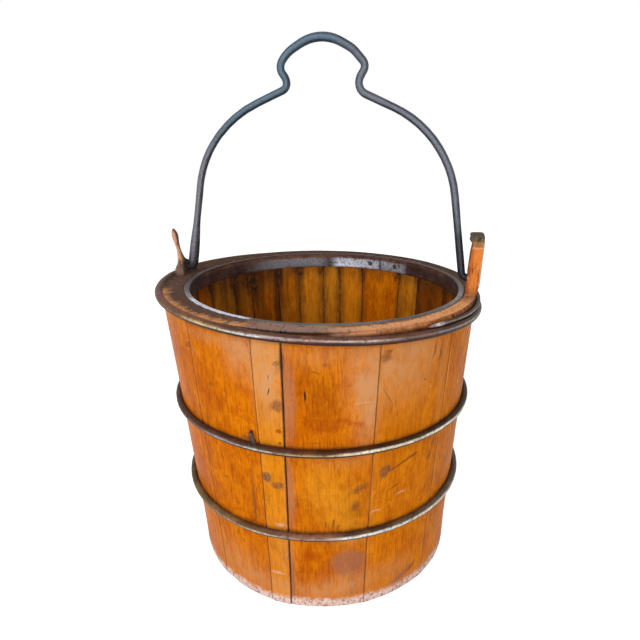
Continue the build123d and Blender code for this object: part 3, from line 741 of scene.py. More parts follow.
def stave_mesh(index):
    """One stave: its radial section swept between its seams, with eased and worn edges."""
    half = np.array([body_height / 2])
    start, end = (float(a[0]) for a in stave_angles(index, half))
    width = radians(end - start) * wall_radius(body_height / 2)
    inner = max(3, int(round((width - 2 * edge_steps[-1]) / stave_step)))
    run = np.linspace(edge_steps[-1], width - edge_steps[-1], inner + 1)
    along = np.concatenate([edge_steps[:-1], run, width - np.array(edge_steps[:-1])[::-1]])
    share = along / width
    middle = start + (end - start) * share
    rows = wall_rows(middle)
    near = np.minimum(along, width - along)
    light, red, proud = stave_tones[index]
    left, right = (ease_outer * seams[k % len(seams)][4] for k in (index, index + 1))
    outer_ease = edge_ease(along, left) + edge_ease(width - along, right)
    inner_ease = edge_ease(near, ease_inner)
    flat = 0.0009 * (width / 0.075) ** 2 * (0.5 - 2 * (share - 0.5) ** 2)
    points = []
    for radius, height, side in rows:
        opening = 1.0 if side in ("outer", "top") else seam_inner_share
        a0, a1 = stave_angles(index, height, opening)
        turn = a0 + (a1 - a0) * share
        wave = rough(turn / 14 + index, height / 0.07, 31 + index)
        if side == "outer":
            free = np.ones_like(height)
            for hoop in hoops:
                free = free * (1 - bell(height - hoop_height(hoop, turn), 0.007))
            ridge = ripple(along / 0.0035 + 9 * index, height / 0.05, 7) * 0.00006
            radius = radius + (proud - flat + 0.00028 * wave) * free + ridge - outer_ease
            radius = radius + foot_flare * np.clip(1 - height / foot_flare_height, 0, 1) ** 2
        elif side == "inner":
            ridge = ripple(along / 0.004 + 5 * index, height / 0.05, 8) * 0.00008
            radius = radius + 0.00025 * wave + ridge + inner_ease
        elif side == "top":
            height = height - outer_ease * 0.8 + 0.0003 * ripple(turn / 1.5, radius / 0.004, 12)
        a = np.radians(turn)
        points.append(np.stack([radius * np.cos(a), radius * np.sin(a), height], 1))
    grid = np.array(points)
    rings, steps = grid.shape[:2]
    faces = []
    for k in range(rings):
        n = (k + 1) % rings
        for j in range(steps - 1):
            faces.append((k * steps + j, k * steps + j + 1, n * steps + j + 1, n * steps + j))
    faces.append(tuple(k * steps for k in range(rings)))
    faces.append(tuple(k * steps + steps - 1 for k in reversed(range(rings))))
    return grid.reshape(-1, 3), faces


# Faded varnish with a painted sheen, a painted reflection, in soft patches on the wall's outside:
# angle, height, half width in degrees, half height, strength
haze_patches = (
    (-62, 0.25, 5.0, 0.034, 0.85), (-60, 0.225, 4.0, 0.024, 0.5), (-66, 0.03, 9.0, 0.014, 0.7),
    (-53, 0.258, 5.5, 0.026, 0.55), (-44, 0.248, 10.0, 0.03, 0.5), (-92, 0.262, 4.2, 0.03, 0.95),
    (-100, 0.268, 6.0, 0.018, 0.75), (-116, 0.034, 13.0, 0.02, 0.45), (-91, 0.06, 4.0, 0.04, 0.25),
    (-112, 0.279, 18.0, 0.006, 0.4), (-61, 0.2, 3.0, 0.025, 0.45), (-68, 0.17, 9.0, 0.008, 0.25),
    (-42, 0.268, 8.0, 0.014, 0.45), (-46, 0.03, 8.0, 0.014, 0.45), (-100, 0.024, 14.0, 0.01, 0.5),
    (-78, 0.02, 9.0, 0.008, 0.6), (-140, 0.255, 5.0, 0.05, 0.1), (-92, 0.235, 3.5, 0.03, 0.45),
    (-75, 0.272, 9.0, 0.01, 0.35), (-66, 0.082, 6.0, 0.006, 0.4), (-31, 0.23, 1.2, 0.05, 0.45),
    (40, 0.24, 9.0, 0.04, 0.55), (95, 0.21, 7.0, 0.06, 0.6), (150, 0.12, 9.0, 0.05, 0.55),
    (200, 0.24, 8.0, 0.04, 0.5), (70, 0.06, 10.0, 0.03, 0.5),
)
# Painted shade and dark smudges in soft patches on the outside, in the same order of values; a negative
# strength paints light instead
shade_patches = (
    (-12, 0.2, 7.0, 0.08, 0.3), (-22, 0.06, 4.0, 0.06, 0.25), (-18, 0.23, 4.0, 0.06, 0.3),
    (-104, 0.11, 4.0, 0.05, 0.15), (-42, 0.12, 9.0, 0.012, 0.2), (-36, 0.06, 6.0, 0.03, 0.1),
    (-112, 0.235, 8.0, 0.045, 0.22), (-135, 0.23, 9.0, 0.08, 0.18), (-76, 0.24, 6.0, 0.045, 0.3),
    (-110, 0.14, 8.0, 0.04, 0.15), (-104, 0.045, 11.0, 0.03, -0.9), (-72, 0.13, 9.0, 0.04, -0.25),
    (-122, 0.04, 12.0, 0.03, -0.8), (-72, 0.235, 6.0, 0.03, 0.2), (-48, 0.225, 8.0, 0.045, -0.55),
    (-46, 0.06, 6.0, 0.04, -0.2), (-92, 0.15, 3.0, 0.09, -0.2), (-80, 0.04, 6.0, 0.03, 0.1),
    (-60, 0.17, 4.0, 0.03, -0.2),
)

# How much redder, or less red, patches of the outside are, in the same order of values
tone_patches = (
    (-70, 0.125, 10.0, 0.04, -0.55), (-64, 0.095, 6.0, 0.03, -0.3), (-78, 0.15, 6.0, 0.03, -0.3),
    (-46, 0.06, 9.0, 0.03, 0.25),
)


def patches(table, angle, height):
    """Sum of soft oval patches at places on the wall."""
    total = np.zeros_like(angle)
    for centre, middle, half_angle, half_height, strength in table:
        away = (angle_gap(angle, centre) / half_angle) ** 2 + ((height - middle) / half_height) ** 2
        total = total + strength * np.exp(-away)
    return total


# The rim above the top hoop: angle and colour
rim_tones = (
    (-180, 0.09, 0.056, 0.042), (-160, 0.12, 0.08, 0.064), (-140, 0.11, 0.07, 0.055),
    (-102, 0.13, 0.08, 0.062), (-95, 0.34, 0.21, 0.165), (-76, 0.38, 0.25, 0.205), (-70, 0.7, 0.38, 0.23),
    (-60, 0.95, 0.45, 0.21), (-18, 0.95, 0.44, 0.18), (-6, 0.3, 0.15, 0.075), (14, 0.11, 0.07, 0.05),
    (60, 0.085, 0.056, 0.04), (180, 0.09, 0.056, 0.042),
)


def rim_masks(angle, radius, z, top):
    """Where the rim is old and bare, where it is dirty, and where it is chipped to fresh wood."""
    pale_side = soft_step(-77, -68, angle) * soft_step(5, -12, angle)
    left_side = soft_step(-94, -103, angle) * (1 - soft_step(-150, -157, angle))
    ragged = rough(angle / 2.6, z / 0.004, 41)
    above = z - hoop_height(top_hoop, angle)
    face = soft_step(0.0050, 0.0062, above + 0.0010 * ragged)
    inward = wall_radius(top) - radius
    on_top = soft_step(top - 0.0024, top - 0.0010, z)
    face = face * (1 - pale_side) + soft_step(0.0044, 0.0028, top - z + 0.0010 * ragged) * pale_side
    bare = np.maximum(face, on_top)
    dirt = 0.70 * soft_step(0.0098, 0.0112, inward) * on_top * pale_side
    edge = soft_step(0.0078, 0.0058, inward + 0.0018 * ragged) * soft_step(-0.0005, 0.0010, above)
    torn = rough(angle / 1.7, z / 0.0025, 51)
    chip = edge * left_side * soft_step(-0.55, -0.10, torn)
    nicks = pale_side * soft_step(0.15, 0.6, rough(angle / 3.1, z / 0.004, 53))
    chip = np.maximum(chip, 0.10 * edge * nicks)
    return bare, dirt, chip


def ear_masks(index, y, z, radius, top, ear):
    """Colour and dirt on an ear above the mouth, with painted shade on the left ear's rear side and root.
    """
    over = z - top
    mottle = rough(y / 0.006, z / 0.012, 57)
    if index == right_ear_stave:
        across = (radius - 0.1482 - 0.075 * (z - 0.29)) / 0.0115
        side = 0.75 * soft_step(0.40, 0.12, across + 0.12 * mottle)
        line = 0.85 * bell(z - 0.3348 - 0.0004 * mottle, 0.0006)
        line = 0.75 * np.maximum(bell(across - 1.00, 0.06), line)
        color = tinted((0.80, 0.235, 0.040), (0.40, 0.100, 0.030), side)
        color = tinted(color, (0.42, 0.190, 0.060), soft_step(0.3348, 0.3358, z + 0.0004 * mottle))
        color = tinted(color, (0.92, 0.52, 0.36), line)
        color = tinted(color, (0.13, 0.100, 0.068), soft_step(0.3400, 0.3418, z + 0.001 * mottle))
        return color, 0.45 * soft_step(0.012, 0.001, over) * soft_step(0.006, -0.010, y) * ear
    # Left ear: painted shade darkens its rear side and, darker still, its root
    rear = soft_step(-0.0112, -0.0085, y + 0.001 * mottle)
    finger = tinted((0.74, 0.370, 0.230), (0.21, 0.130, 0.100), rear)
    root = tinted((0.075, 0.048, 0.038), (0.42, 0.250, 0.180), 0.6 * soft_step(-0.010, -0.0150, y))
    return tinted(root, finger, soft_step(0.011, 0.020, over)), 0.30 * soft_step(0.008, 0.001, over) * ear


def edge_dirt(index, angle, z, radius):
    """Dirt in the seams at both sides of a stave."""
    total = np.zeros_like(z)
    for limit, seam in zip(stave_angles(index, z), (index, (index + 1) % len(seams))):
        away = np.radians(np.abs(angle_gap(angle, limit))) * radius
        total = total + 0.70 * seams[seam][4] * soft_step(0.0009, 0.0002, away)
    return total


def hoop_grime(angle, z):
    """Dirt and painted shade along the hoops, for the outside."""
    total = np.zeros_like(z)
    for hoop in hoops:
        gap = z - hoop_height(hoop, angle)
        # Painted shade and dirt: a dark band over each hoop and a narrower one under it
        over = 0.9 * bell(gap - 0.0036, 0.0016)
        under = 0.45 * bell(gap + 0.0046, 0.0010)
        total = total + (over + under) * (0.75 + 0.35 * rough(angle / 3.5, z / 0.01, 63))
    return total


def inner_grime(angle, z, top, near):
    """Darkening of the inside: below the band, along the seams and towards the bottom."""
    below_band = top - band_height - z
    left_back = bell(angle_gap(angle, 148), 26)
    reach = 0.016 + 0.030 * left_back
    below_band = below_band + 0.012 * rough(angle / 3, 0 * z, 65)
    band_darkening = (0.50 + 0.25 * left_back) * soft_step(reach, 0.0, below_band)
    seam = 0.60 * soft_step(0.0100, 0.0002, near + 0.0040 * rough(angle / 5, z / 0.03, 66))
    return band_darkening + seam + 0.40 * soft_step(0.16, 0.04, z)


def paint_wood(obj, index):
    """Write the grain and the masks for wear, dirt, fading with painted sheen, and painted light
    and shade, from where each vertex lies.
    """
    place = vertex_places(obj)
    x, y, z = place.T
    radius = np.hypot(x, y)
    angle = np.degrees(np.arctan2(y, x))
    top = mouth_height(np.radians(angle), radius)
    depth = (wall_radius(z) - radius) / wall_thickness
    inner = off_axis(np.radians(angle), inside_radius(z))
    inside = soft_step(0.0035, 0.0012, radius - inner)
    outside = soft_step(0.35, 0.05, depth)
    light, red, proud = stave_tones[index]
    around = np.radians(angle_gap(angle, seams[index][0])) * wall_radius(body_height / 2)
    turned = seams[index][0] + angle_gap(angle, seams[index][0])
    arc = np.radians(turned - camera_side) * wall_radius(z)
    slant = 0.02 * ripple(z / 0.12, 0 * z + index, 2) + 0.03 * ripple(0 * z + index, 0 * z, 4)
    grain = np.stack([around + slant * (z - 0.15) + 1.7 * index, z + 0.9 * index, radius + 0.3 * index], 1)

    start, end = stave_angles(index, z)
    near = np.minimum(np.abs(angle_gap(angle, start)), np.abs(angle_gap(angle, end)))
    near = np.radians(near) * radius
    # Faded varnish and painted sheen: in patches, along the seams and towards the foot
    haze = patches(haze_patches, angle, z) * outside
    haze = haze + 0.06 * soft_step(0.0065, 0.0005, near) * outside
    haze = haze + 0.35 * soft_step(0.024, 0.004, z) * outside
    shade = patches(shade_patches, angle, z) * outside

    ragged = 0.0035 * rough(angle / 2.6, z / 0.02, 41) + 0.0012 * rough(angle / 0.9, z / 0.006, 43)
    wear = soft_step(0.0115, 0.0085, z + ragged) * soft_step(0.9, 0.5, depth)
    rim, rim_dirt, chip = rim_masks(angle, radius, z, top)
    ear = soft_step(top + 0.0005, top + 0.0025, z)
    body = (1 - ear) * (1 - inside)
    rim_color = np.stack(along_table(rim_tones, angle), 1)
    ear_dirt = 0 * z
    if index in (left_ear_stave, right_ear_stave):
        ear_color, ear_dirt = ear_masks(index, y, z, radius, top, ear)
        rim_color = tinted(rim_color, ear_color, ear)
    # Dirt, painted shade along the hoops and over the top hoop, and darkening inside
    grime = rim_dirt * body + outside * hoop_grime(angle, z) * (1 - ear) * (1 - rim)
    grime = grime + edge_dirt(index, angle, z, radius) * (1 - ear) * (1 - 0.5 * inside) * (1 - 0.8 * rim)
    grime = grime + inside * inner_grime(angle, z, top, near)

    mottle = rough(angle / 3.0 + 7 * index, z / 0.05, 68)
    # Lightness: each stave's tone, darker inside, and the painted shade and painted light of the shade
    # patches
    lightness = light * (1 - 0.35 * outside) + inside * (0.30 * mottle - 0.25) - 0.55 * shade
    for seam_side in (103.7, 49.7):
        lightness = lightness + 0.9 * inside * bell(angle_gap(angle, seam_side), 0.35)
    # Painted shade and dirt on the wall between the top hoop and the rim
    above = z - hoop_height(top_hoop, angle)
    groove = soft_step(0.0005, 0.0020, above) * soft_step(0.0300, 0.0250, above)
    lightness = lightness - 1.2 * groove * outside * body
    grime = grime + 0.45 * groove * outside * body * (1 - rim)
    redness = red - 0.15 * inside + patches(tone_patches, angle, z) * outside
    write_attributes(
        obj, grain=grain, wall=np.stack([arc, z, wall_radius(z) - radius], 1), rim_color=rim_color,
        light=np.clip(lightness, -1, 1), red=np.clip(redness, -1, 1), haze=np.clip(haze, 0, 0.95),
        wear=np.clip(wear * (1 - ear), 0, 1), grime=np.clip(grime * (1 - ear) + ear_dirt, 0, 0.95),
        rim=np.clip(rim * body * 0.96 + ear, 0, 1), chip=np.clip(chip * body, 0, 1))


def ring_tube(rings, closed=False):
    """Points and faces of a tube from rings of equal numbers of points."""
    count, sides = len(rings), len(rings[0])
    points = [p for ring in rings for p in ring]
    faces = []
    for k in range(count if closed else count - 1):
        n = (k + 1) % count
        for j in range(sides):
            m = (j + 1) % sides
            faces.append((k * sides + j, k * sides + m, n * sides + m, n * sides + j))
    if not closed:
        faces.append(tuple(reversed(range(sides))))
        faces.append(tuple(range((count - 1) * sides, count * sides)))
    return points, faces


def fallen_frame(height, fall, fall_angle):
    """Matrix of a plane across the bucket that is lower on one side, shifted to bear evenly on the cone."""
    tilt = atan(fall / (2 * mouth_radius))
    low = Vector((cos(radians(fall_angle)), sin(radians(fall_angle)), 0))
    x_dir = low * cos(tilt) - Vector((0, 0, sin(tilt)))
    z_dir = low * sin(tilt) + Vector((0, 0, cos(tilt)))
    y_dir = z_dir.cross(x_dir)
    shift = -wall_flare * wall_radius(height) * tan(tilt)
    origin = low * shift + Vector((0, 0, height))
    return Matrix(((x_dir.x, y_dir.x, z_dir.x, origin.x), (x_dir.y, y_dir.y, z_dir.y, origin.y),
                   (x_dir.z, y_dir.z, z_dir.z, origin.z), (0, 0, 0, 1)))


def hoop_seat(hoop):
    """Centreline radius of a hoop that bears on the wall."""
    rod, height, fall, low_side, bite = hoop
    tilt = atan(fall / (2 * mouth_radius))
    return (wall_radius(height) + rod / 2 / cos(flare_angle) - bite) / cos(tilt)


def forged_ring(turn, radius, rise, rod, seed):
    """One ring of a hoop's rod, hammered a little uneven."""
    ring = []
    for side in circle(18):
        swell = 1 + 0.030 * ripple(turn / 5 + 3 * seed, side, seed)
        swell += 0.02 * ripple(turn / 1.3, 2 * side, seed + 1)
        reach = rod / 2 * swell
        ring.append(polar(radius + reach * cos(side), radians(turn), rise + reach * sin(side)))
    return ring


# Along each hoop's painted highlight, a painted reflection of the floor: angle, how bright the strip is,
# how high it lies on the rod from -1 to 1, the colour of the rest, and the colour of the strip
top_hoop_highlight = (
    (-180, 0.1, 0.1, 0.12, 0.07, 0.05, 0.7, 0.65, 0.6),
    (-135, 0.15, 0.15, 0.15, 0.07, 0.04, 0.7, 0.6, 0.45),
    (-125, 0.15, 0.15, 0.16, 0.07, 0.038, 0.8, 0.68, 0.4),
    (-117, 0.55, 0.14, 0.15, 0.065, 0.034, 0.84, 0.72, 0.4),
    (-108, 0.95, 0.12, 0.14, 0.062, 0.032, 0.9, 0.78, 0.46),
    (-101, 0.9, 0.12, 0.13, 0.06, 0.034, 0.84, 0.8, 0.72),
    (-94, 0.85, 0.14, 0.13, 0.06, 0.036, 0.84, 0.81, 0.82),
    (-88, 0.45, 0.2, 0.17, 0.08, 0.056, 0.72, 0.64, 0.66),
    (-80, 0.4, 0.3, 0.17, 0.08, 0.055, 0.72, 0.58, 0.55),
    (-72, 0.6, 0.35, 0.17, 0.08, 0.058, 0.76, 0.64, 0.6),
    (-60, 0.65, 0.3, 0.16, 0.075, 0.055, 0.78, 0.68, 0.62),
    (-50, 0.25, 0.25, 0.15, 0.065, 0.045, 0.6, 0.55, 0.54),
    (-36, 0.45, 0.25, 0.11, 0.055, 0.04, 0.64, 0.6, 0.6),
    (-18, 0.55, 0.25, 0.095, 0.062, 0.05, 0.66, 0.64, 0.62),
    (-5, 0.3, 0.1, 0.095, 0.07, 0.055, 0.6, 0.56, 0.5), (180, 0.1, 0.1, 0.12, 0.07, 0.05, 0.7, 0.65, 0.6),
)
middle_hoop_highlight = (
    (-180, 0.1, 0.1, 0.08, 0.035, 0.02, 0.6, 0.5, 0.45),
    (-135, 0.1, 0.1, 0.085, 0.034, 0.018, 0.6, 0.54, 0.52),
    (-118, 0.45, 0.05, 0.085, 0.032, 0.017, 0.72, 0.68, 0.74),
    (-104, 0.75, 0.08, 0.07, 0.028, 0.016, 0.8, 0.77, 0.82),
    (-97, 0.85, 0.08, 0.065, 0.026, 0.015, 0.85, 0.82, 0.8),
    (-91, 0.7, 0.08, 0.065, 0.026, 0.015, 0.72, 0.62, 0.46),
    (-80, 0.6, 0.08, 0.105, 0.036, 0.012, 0.66, 0.46, 0.24),
    (-72, 0.75, 0.08, 0.095, 0.032, 0.011, 0.74, 0.6, 0.4),
    (-62, 1.00, 0.1, 0.055, 0.022, 0.008, 0.95, 0.84, 0.64),
    (-30, 1.00, 0.12, 0.045, 0.026, 0.012, 0.96, 0.88, 0.72),
    (-15, 0.8, 0.05, 0.05, 0.032, 0.018, 0.8, 0.76, 0.66),
    (0, 0.3, 0.00, 0.055, 0.038, 0.022, 0.6, 0.56, 0.48),
    (180, 0.1, 0.1, 0.08, 0.035, 0.02, 0.6, 0.5, 0.45),
)
lower_hoop_highlight = (
    (-180, 0.1, 0.1, 0.08, 0.05, 0.03, 0.6, 0.55, 0.5),
    (-135, 0.12, 0.1, 0.16, 0.105, 0.045, 0.6, 0.5, 0.35),
    (-112, 0.45, 0.05, 0.19, 0.115, 0.045, 0.74, 0.66, 0.5),
    (-100, 0.9, 0.05, 0.13, 0.07, 0.03, 0.85, 0.82, 0.74),
    (-92, 0.7, 0.05, 0.12, 0.06, 0.034, 0.78, 0.74, 0.74),
    (-84, 0.35, 0.1, 0.23, 0.11, 0.065, 0.7, 0.52, 0.44),
    (-74, 0.5, 0.1, 0.22, 0.11, 0.065, 0.72, 0.62, 0.56),
    (-68, 1.00, 0.1, 0.1, 0.055, 0.03, 0.82, 0.86, 0.84),
    (-40, 1.00, 0.1, 0.12, 0.08, 0.05, 0.88, 0.86, 0.76),
    (-22, 0.9, 0.05, 0.13, 0.1, 0.07, 0.8, 0.8, 0.74), (0, 0.4, 0.00, 0.14, 0.11, 0.08, 0.66, 0.64, 0.6),
    (180, 0.1, 0.1, 0.08, 0.05, 0.03, 0.6, 0.55, 0.5),
)
tip_highlight = (
    (-180, 0.15, 0.30, 0.045, 0.024, 0.018, 0.70, 0.66, 0.66),
    (180, 0.15, 0.30, 0.045, 0.024, 0.018, 0.70, 0.66, 0.66),
)


def along_table(table, angle):
    """Columns of a table after its first, looked up at each angle."""
    columns = list(zip(*table))
    return [np.interp(angle, columns[0], column) for column in columns[1:]]


def worn_side(obj, rub_and_highlight):
    """Write a hoop's painted highlight, a strip along its outermost line that stands for a reflection
    of the floor, the painted shade below it, and its colours.
    """
    up = np.float32(vertex_places(obj, "normal")[:, 2])
    place = vertex_places(obj)
    angle = np.degrees(np.arctan2(place[:, 1], place[:, 0]))
    strength, centre, *colors = along_table(rub_and_highlight, angle)
    width = 0.22 + 0.12 * soft_step(-80, -60, angle) * (rub_and_highlight is not top_hoop_highlight)
    shift = 0.08 * rough(angle / 6, 0 * angle, 77)
    # Painted highlight: a strip where the rod would reflect the floor
    strip = np.exp(-((up - centre - shift) / width) ** 4)
    patchy = 0.85 + 0.55 * rough(angle / 1.6, up / 0.5, 78)
    worn = strip * strength * patchy
    if rub_and_highlight is top_hoop_highlight:
        # A painted highlight pad on the lap's upper strand
        tip_pad = bell(angle + 37.6, 2.0)
        worn = worn + 0.9 * tip_pad * (place[:, 2] > hoop_height(top_hoop, angle) + 0.0040)
    # Painted shade below the highlight
    shaded = 0.9 * soft_step(centre - width - 0.02, centre - width - 0.22, up)
    write_attributes(obj, worn=np.clip(worn, 0, 1), shaded=shaded, base=np.stack(colors[:3], 1),
                     bright=np.stack(colors[3:], 1), along=place)


def plain_hoop(name, hoop, rub_and_highlight, material, seed):
    """A closed round hoop with the slight waves of forging."""
    rod, height, fall, low_side, bite = hoop
    rings = []
    for turn in 360 * np.arange(260) / 260:
        wave = 0.0007 * ripple(turn / 30.0, 0.5, seed)
        rings.append(forged_ring(turn, hoop_seat(hoop) + wall_flare * wave, wave, rod, seed))
    points, faces = ring_tube(rings, closed=True)
    place = fallen_frame(height, fall, low_side)
    obj = mesh_object("iron_" + name, [place @ p for p in points], faces)
    worn_side(obj, rub_and_highlight)
    return finish_piece(obj, "bucket", "hoop_iron", material, name)


def lapped_hoop(material):
    """The top hoop: one rod wound a little more than once round, with drawn-out ends."""
    rod, height, fall, low_side, bite = top_hoop
    radius = hoop_seat(top_hoop)
    step = rod + lap_gap
    total = 360 + lap_length
    point_turn = np.degrees(lap_point_length / radius)
    rings = []
    steps = 330
    for i in range(steps + 1):
        turn = (total + point_turn) * i / steps
        end = max(turn - total, 0) / point_turn
        from_tip = radians(turn) * radius
        size = 1 - (1 - lap_point_share) * end ** 1.4
        size = min(size, float(np.interp(from_tip, *zip(*lap_taper))))
        rise = step * (1 - min(turn, total) / 360)
        if turn < lap_length:
            rise -= rod / 2 * (1 - size)
        seat = radius + wall_flare * rise - (1 - size) * rod * 0.45
        wave = 0.0005 * ripple(turn / 28.0, 1.5, 5)
        rings.append(forged_ring(lap_start - low_side + turn, seat, rise + wave, rod * size, 5))
    points, faces = ring_tube(rings)
    place = fallen_frame(height, fall, low_side)
    obj = mesh_object("iron_top_hoop", [place @ p for p in points], faces)
    worn_side(obj, top_hoop_highlight)
    return finish_piece(obj, "bucket", "hoop_iron", material, "top_hoop")


band_step = 0.55


def band_length(name, start, end, material):
    """One length of the mouth band, with rolled edges and corroded faces."""
    trim = np.degrees(band_joint_gap / 2 / band_inner_radius)
    steps = int((end - start) / band_step)
    inner, back, lip = band_inner_radius, band_inner_radius + band_thickness, band_inner_radius + lip_width
    r = band_edge_round
    outline = []

    def rounded(cx, cz, from_turn, to_turn):
        for turn in np.radians(np.linspace(from_turn, to_turn, 4)):
            outline.append((cx + r * cos(turn), cz + r * sin(turn)))

    rounded(inner + r, -r, 180, 90)
    outline.extend([(inner + (lip - inner) * s, 0) for s in (0.3, 0.45, 0.6, 0.75)])
    rounded(lip - r, -r, 90, 0)
    outline.extend([(lip, -lip_height), (back, -lip_height), (back, -band_height * 0.6)])
    rounded(back - r, -band_height + r, 0, -90)
    rounded(inner + r, -band_height + r, -90, -180)
    rows = 9
    outline.extend([(inner, -band_height + r + (band_height - 2 * r) * k / rows) for k in range(1, rows)])
    rings = []
    for i in range(steps + 1):
        turn = start + trim + (end - start - 2 * trim) * i / steps
        ring = []
        for ring_radius, depth in outline:
            a = radians(turn)
            out = off_axis(a, ring_radius)
            if ring_radius < inner + r:
                out += 0.00022 * rough(turn / 0.9, depth / 0.003, 71)
                out += 0.0003 * ripple(turn / 9.0, depth / 0.01, 72)
            if depth < -band_height + 2 * r:
                depth = depth + 0.0004 * rough(turn / 2.2, 0.5, 73)
            if depth > -r:
                depth = depth + 0.00018 * rough(turn / 1.1, ring_radius / 0.003, 74)
            ring.append(polar(out, a, mouth_height(a, out) + depth))
        rings.append(ring)
    obj = mesh_object("iron_" + name, *ring_tube(rings), 50)
    paint_band(obj)
    return finish_piece(obj, "bucket", "band_iron", material, name)


def paint_band(obj):
    """Write the band's rubbed lip, the painted sheen, a painted reflection, on its far inner face,
    and its colours.
    """
    place = vertex_places(obj)
    x, y, z = place.T
    angle = np.degrees(np.arctan2(y, x))
    below = mouth_height(np.radians(angle), np.hypot(x, y)) - z
    lip_side = soft_step(0.0016, 0.0004, below)
    shine, *lip_color = along_table(lip_shine, angle)
    shine = shine * (0.85 + 0.25 * rough(angle / 2.0, z / 0.01, 75))
    joint = 1 - 0.9 * bell(angle_gap(angle, 72), 0.7)
    # Painted sheen, a painted reflection of the sky, on the far inner face
    sheen = soft_step(56, 60, angle) * soft_step(100, 94, angle) * joint
    sheen = sheen * (0.6 + 0.4 * soft_step(68, 76, angle))
    sheen = sheen * soft_step(-0.45, 0.05, rough(angle / 0.8, z / 0.002, 76) + 0.15)
    sheen = sheen + 0.30 * soft_step(97, 106, angle) * soft_step(150, 125, angle)
    sheen = sheen * soft_step(0.0042, 0.0062, below + 0.0012 * rough(angle / 2.5, 0 * angle, 79))
    upper = soft_step(0.0062, 0.0045, below) * soft_step(20, 45, angle)
    face = tinted((0.075, 0.042, 0.036), (0.170, 0.085, 0.060), upper)
    write_attributes(
        obj, base=tinted(face, np.stack(lip_color, 1), lip_side), shaded=0 * angle,
        worn=np.clip(lip_side * shine + (1 - lip_side) * sheen, 0, 1),
        bright=np.tile([0.80, 0.86, 1.00], (len(angle), 1)), along=place)


def bail_line():
    """Points along the bail's centreline with the distance between them about even."""
    pin_end = wall_radius(bail_pivot_height) - bail_pin_recess
    corners = [Vector((-pin_end, bail_pivot_height)), Vector((-bail_half_span, bail_pivot_height))]
    for x_share, z_share, bend_share in bail_corner_shares:
        corners.append(Vector((x_share * bail_half_span, bail_pivot_height + z_share * bail_rise)))
    corners += [Vector((bail_half_span, bail_pivot_height)), Vector((pin_end, bail_pivot_height))]
    line = [corners[0]]
    for i in range(1, len(corners) - 1):
        run_in, run_out = corners[i] - corners[i - 1], corners[i + 1] - corners[i]
        turn = run_in.angle(run_out)
        side = 1 if run_in.cross(run_out) > 0 else -1
        if i in (1, len(corners) - 2):
            radius = bail_foot_bend
        else:
            shorter = min(run_in.length, run_out.length)
            radius = shorter * bail_corner_shares[i - 2][2] / tan(turn / 2)
        begin = corners[i] - run_in.normalized() * radius * tan(turn / 2)
        normal = Vector((-run_in.y, run_in.x)).normalized() * side
        centre = begin + normal * radius
        count = max(4, int(turn / radians(5)))
        for k in range(count + 1):
            spin = side * turn * k / count
            arm = begin - centre
            line.append(centre + Vector((arm.x * cos(spin) - arm.y * sin(spin),
                                         arm.x * sin(spin) + arm.y * cos(spin))))
    line.append(corners[-1])
    return line


def resampled(line, spacing):
    """The same line with points at an even spacing, and how far along each lies."""
    xy = np.array([(p.x, p.y) for p in line])
    length = np.concatenate([[0], np.cumsum(np.hypot(*np.diff(xy, axis=0).T))])
    keep = np.concatenate([[True], np.diff(length) > 1e-7])
    xy, length = xy[keep], length[keep]
    places = np.linspace(0, length[-1], int(length[-1] / spacing) + 1)
    return np.stack([np.interp(places, length, xy[:, k]) for k in (0, 1)], 1), places


def forged_bail(material):
    """The bail: a hand-forged rod, thicker over the grip, its flats and swells left from the hammer."""
    line, length = resampled(bail_line(), 0.0022)
    tangent = np.gradient(line, axis=0)
    tangent /= np.linalg.norm(tangent, axis=1)[:, None]
    rings = []
    for i, ((x, z), (tx, tz)) in enumerate(zip(line, tangent)):
        pin = 1 - soft_step(0.010, 0.020, min(length[i], length[-1] - length[i]))
        base = 1 + 0.17 * bell(x - 0.006, 0.030) * soft_step(0.47, 0.50, z)
        if x < 0:
            base += bail_foot_swell * soft_step(0.36, 0.318, z) * (1 - pin)
        ring = []
        for side in circle(20):
            swell = base + 0.045 * ripple(length[i] / 0.022, side / 2, 81) * (1 - pin)
            swell += 0.018 * ripple(length[i] / 0.006, side, 82) * (1 - pin)
            swell *= 1 - 0.02 * pin
            flat = bail_rod / 2 * swell
            ring.append(Vector((x - tz * flat * cos(side), flat * sin(side), z + tx * flat * cos(side))))
        rings.append(ring)
    obj = mesh_object("iron_bail", *ring_tube(rings), 50)
    paint_bail(obj)
    return finish_piece(obj, "bail", "bail_iron", material, "bail")


def paint_bail(obj):
    """Write the bail's painted highlight along its flats, painted light on the left leg's outer side,
    painted shade along its edges, its darker lower ends, and its greys.
    """
    place, normals = vertex_places(obj), vertex_places(obj, "normal")
    x, y, z = place.T
    facing = np.abs(normals[:, 1])
    low = soft_step(0.375, 0.335, z) * (x > 0)
    foot = soft_step(0.325, 0.305, z) * (x < 0)
    # Painted light on the left leg's outer side
    left = soft_step(0.2, 0.9, -normals[:, 0]) * (x < 0) * soft_step(0.50, 0.44, z)
    # Painted highlight along the flats, painted shade along the edges between them
    highlight_strip = 0.80 * soft_step(0.70, 0.99, facing)
    shaded_edges = 0.65 * soft_step(0.55, 0.10, facing) * (1 - left)
    blue = tinted((0.050, 0.080, 0.112), (0.110, 0.112, 0.130), soft_step(0.46, 0.40, z))
    grey = tinted(blue, (0.078, 0.088, 0.112), soft_step(0, 0.06, x))
    write_attributes(
        obj, worn=np.clip(0.8 * left + highlight_strip, 0, 1) * (1 - 0.8 * low), base=grey, along=place,
        shaded=np.clip(shaded_edges + 0.60 * low + 0.45 * foot, 0, 1), bright=grey * 1.35 + 0.02)


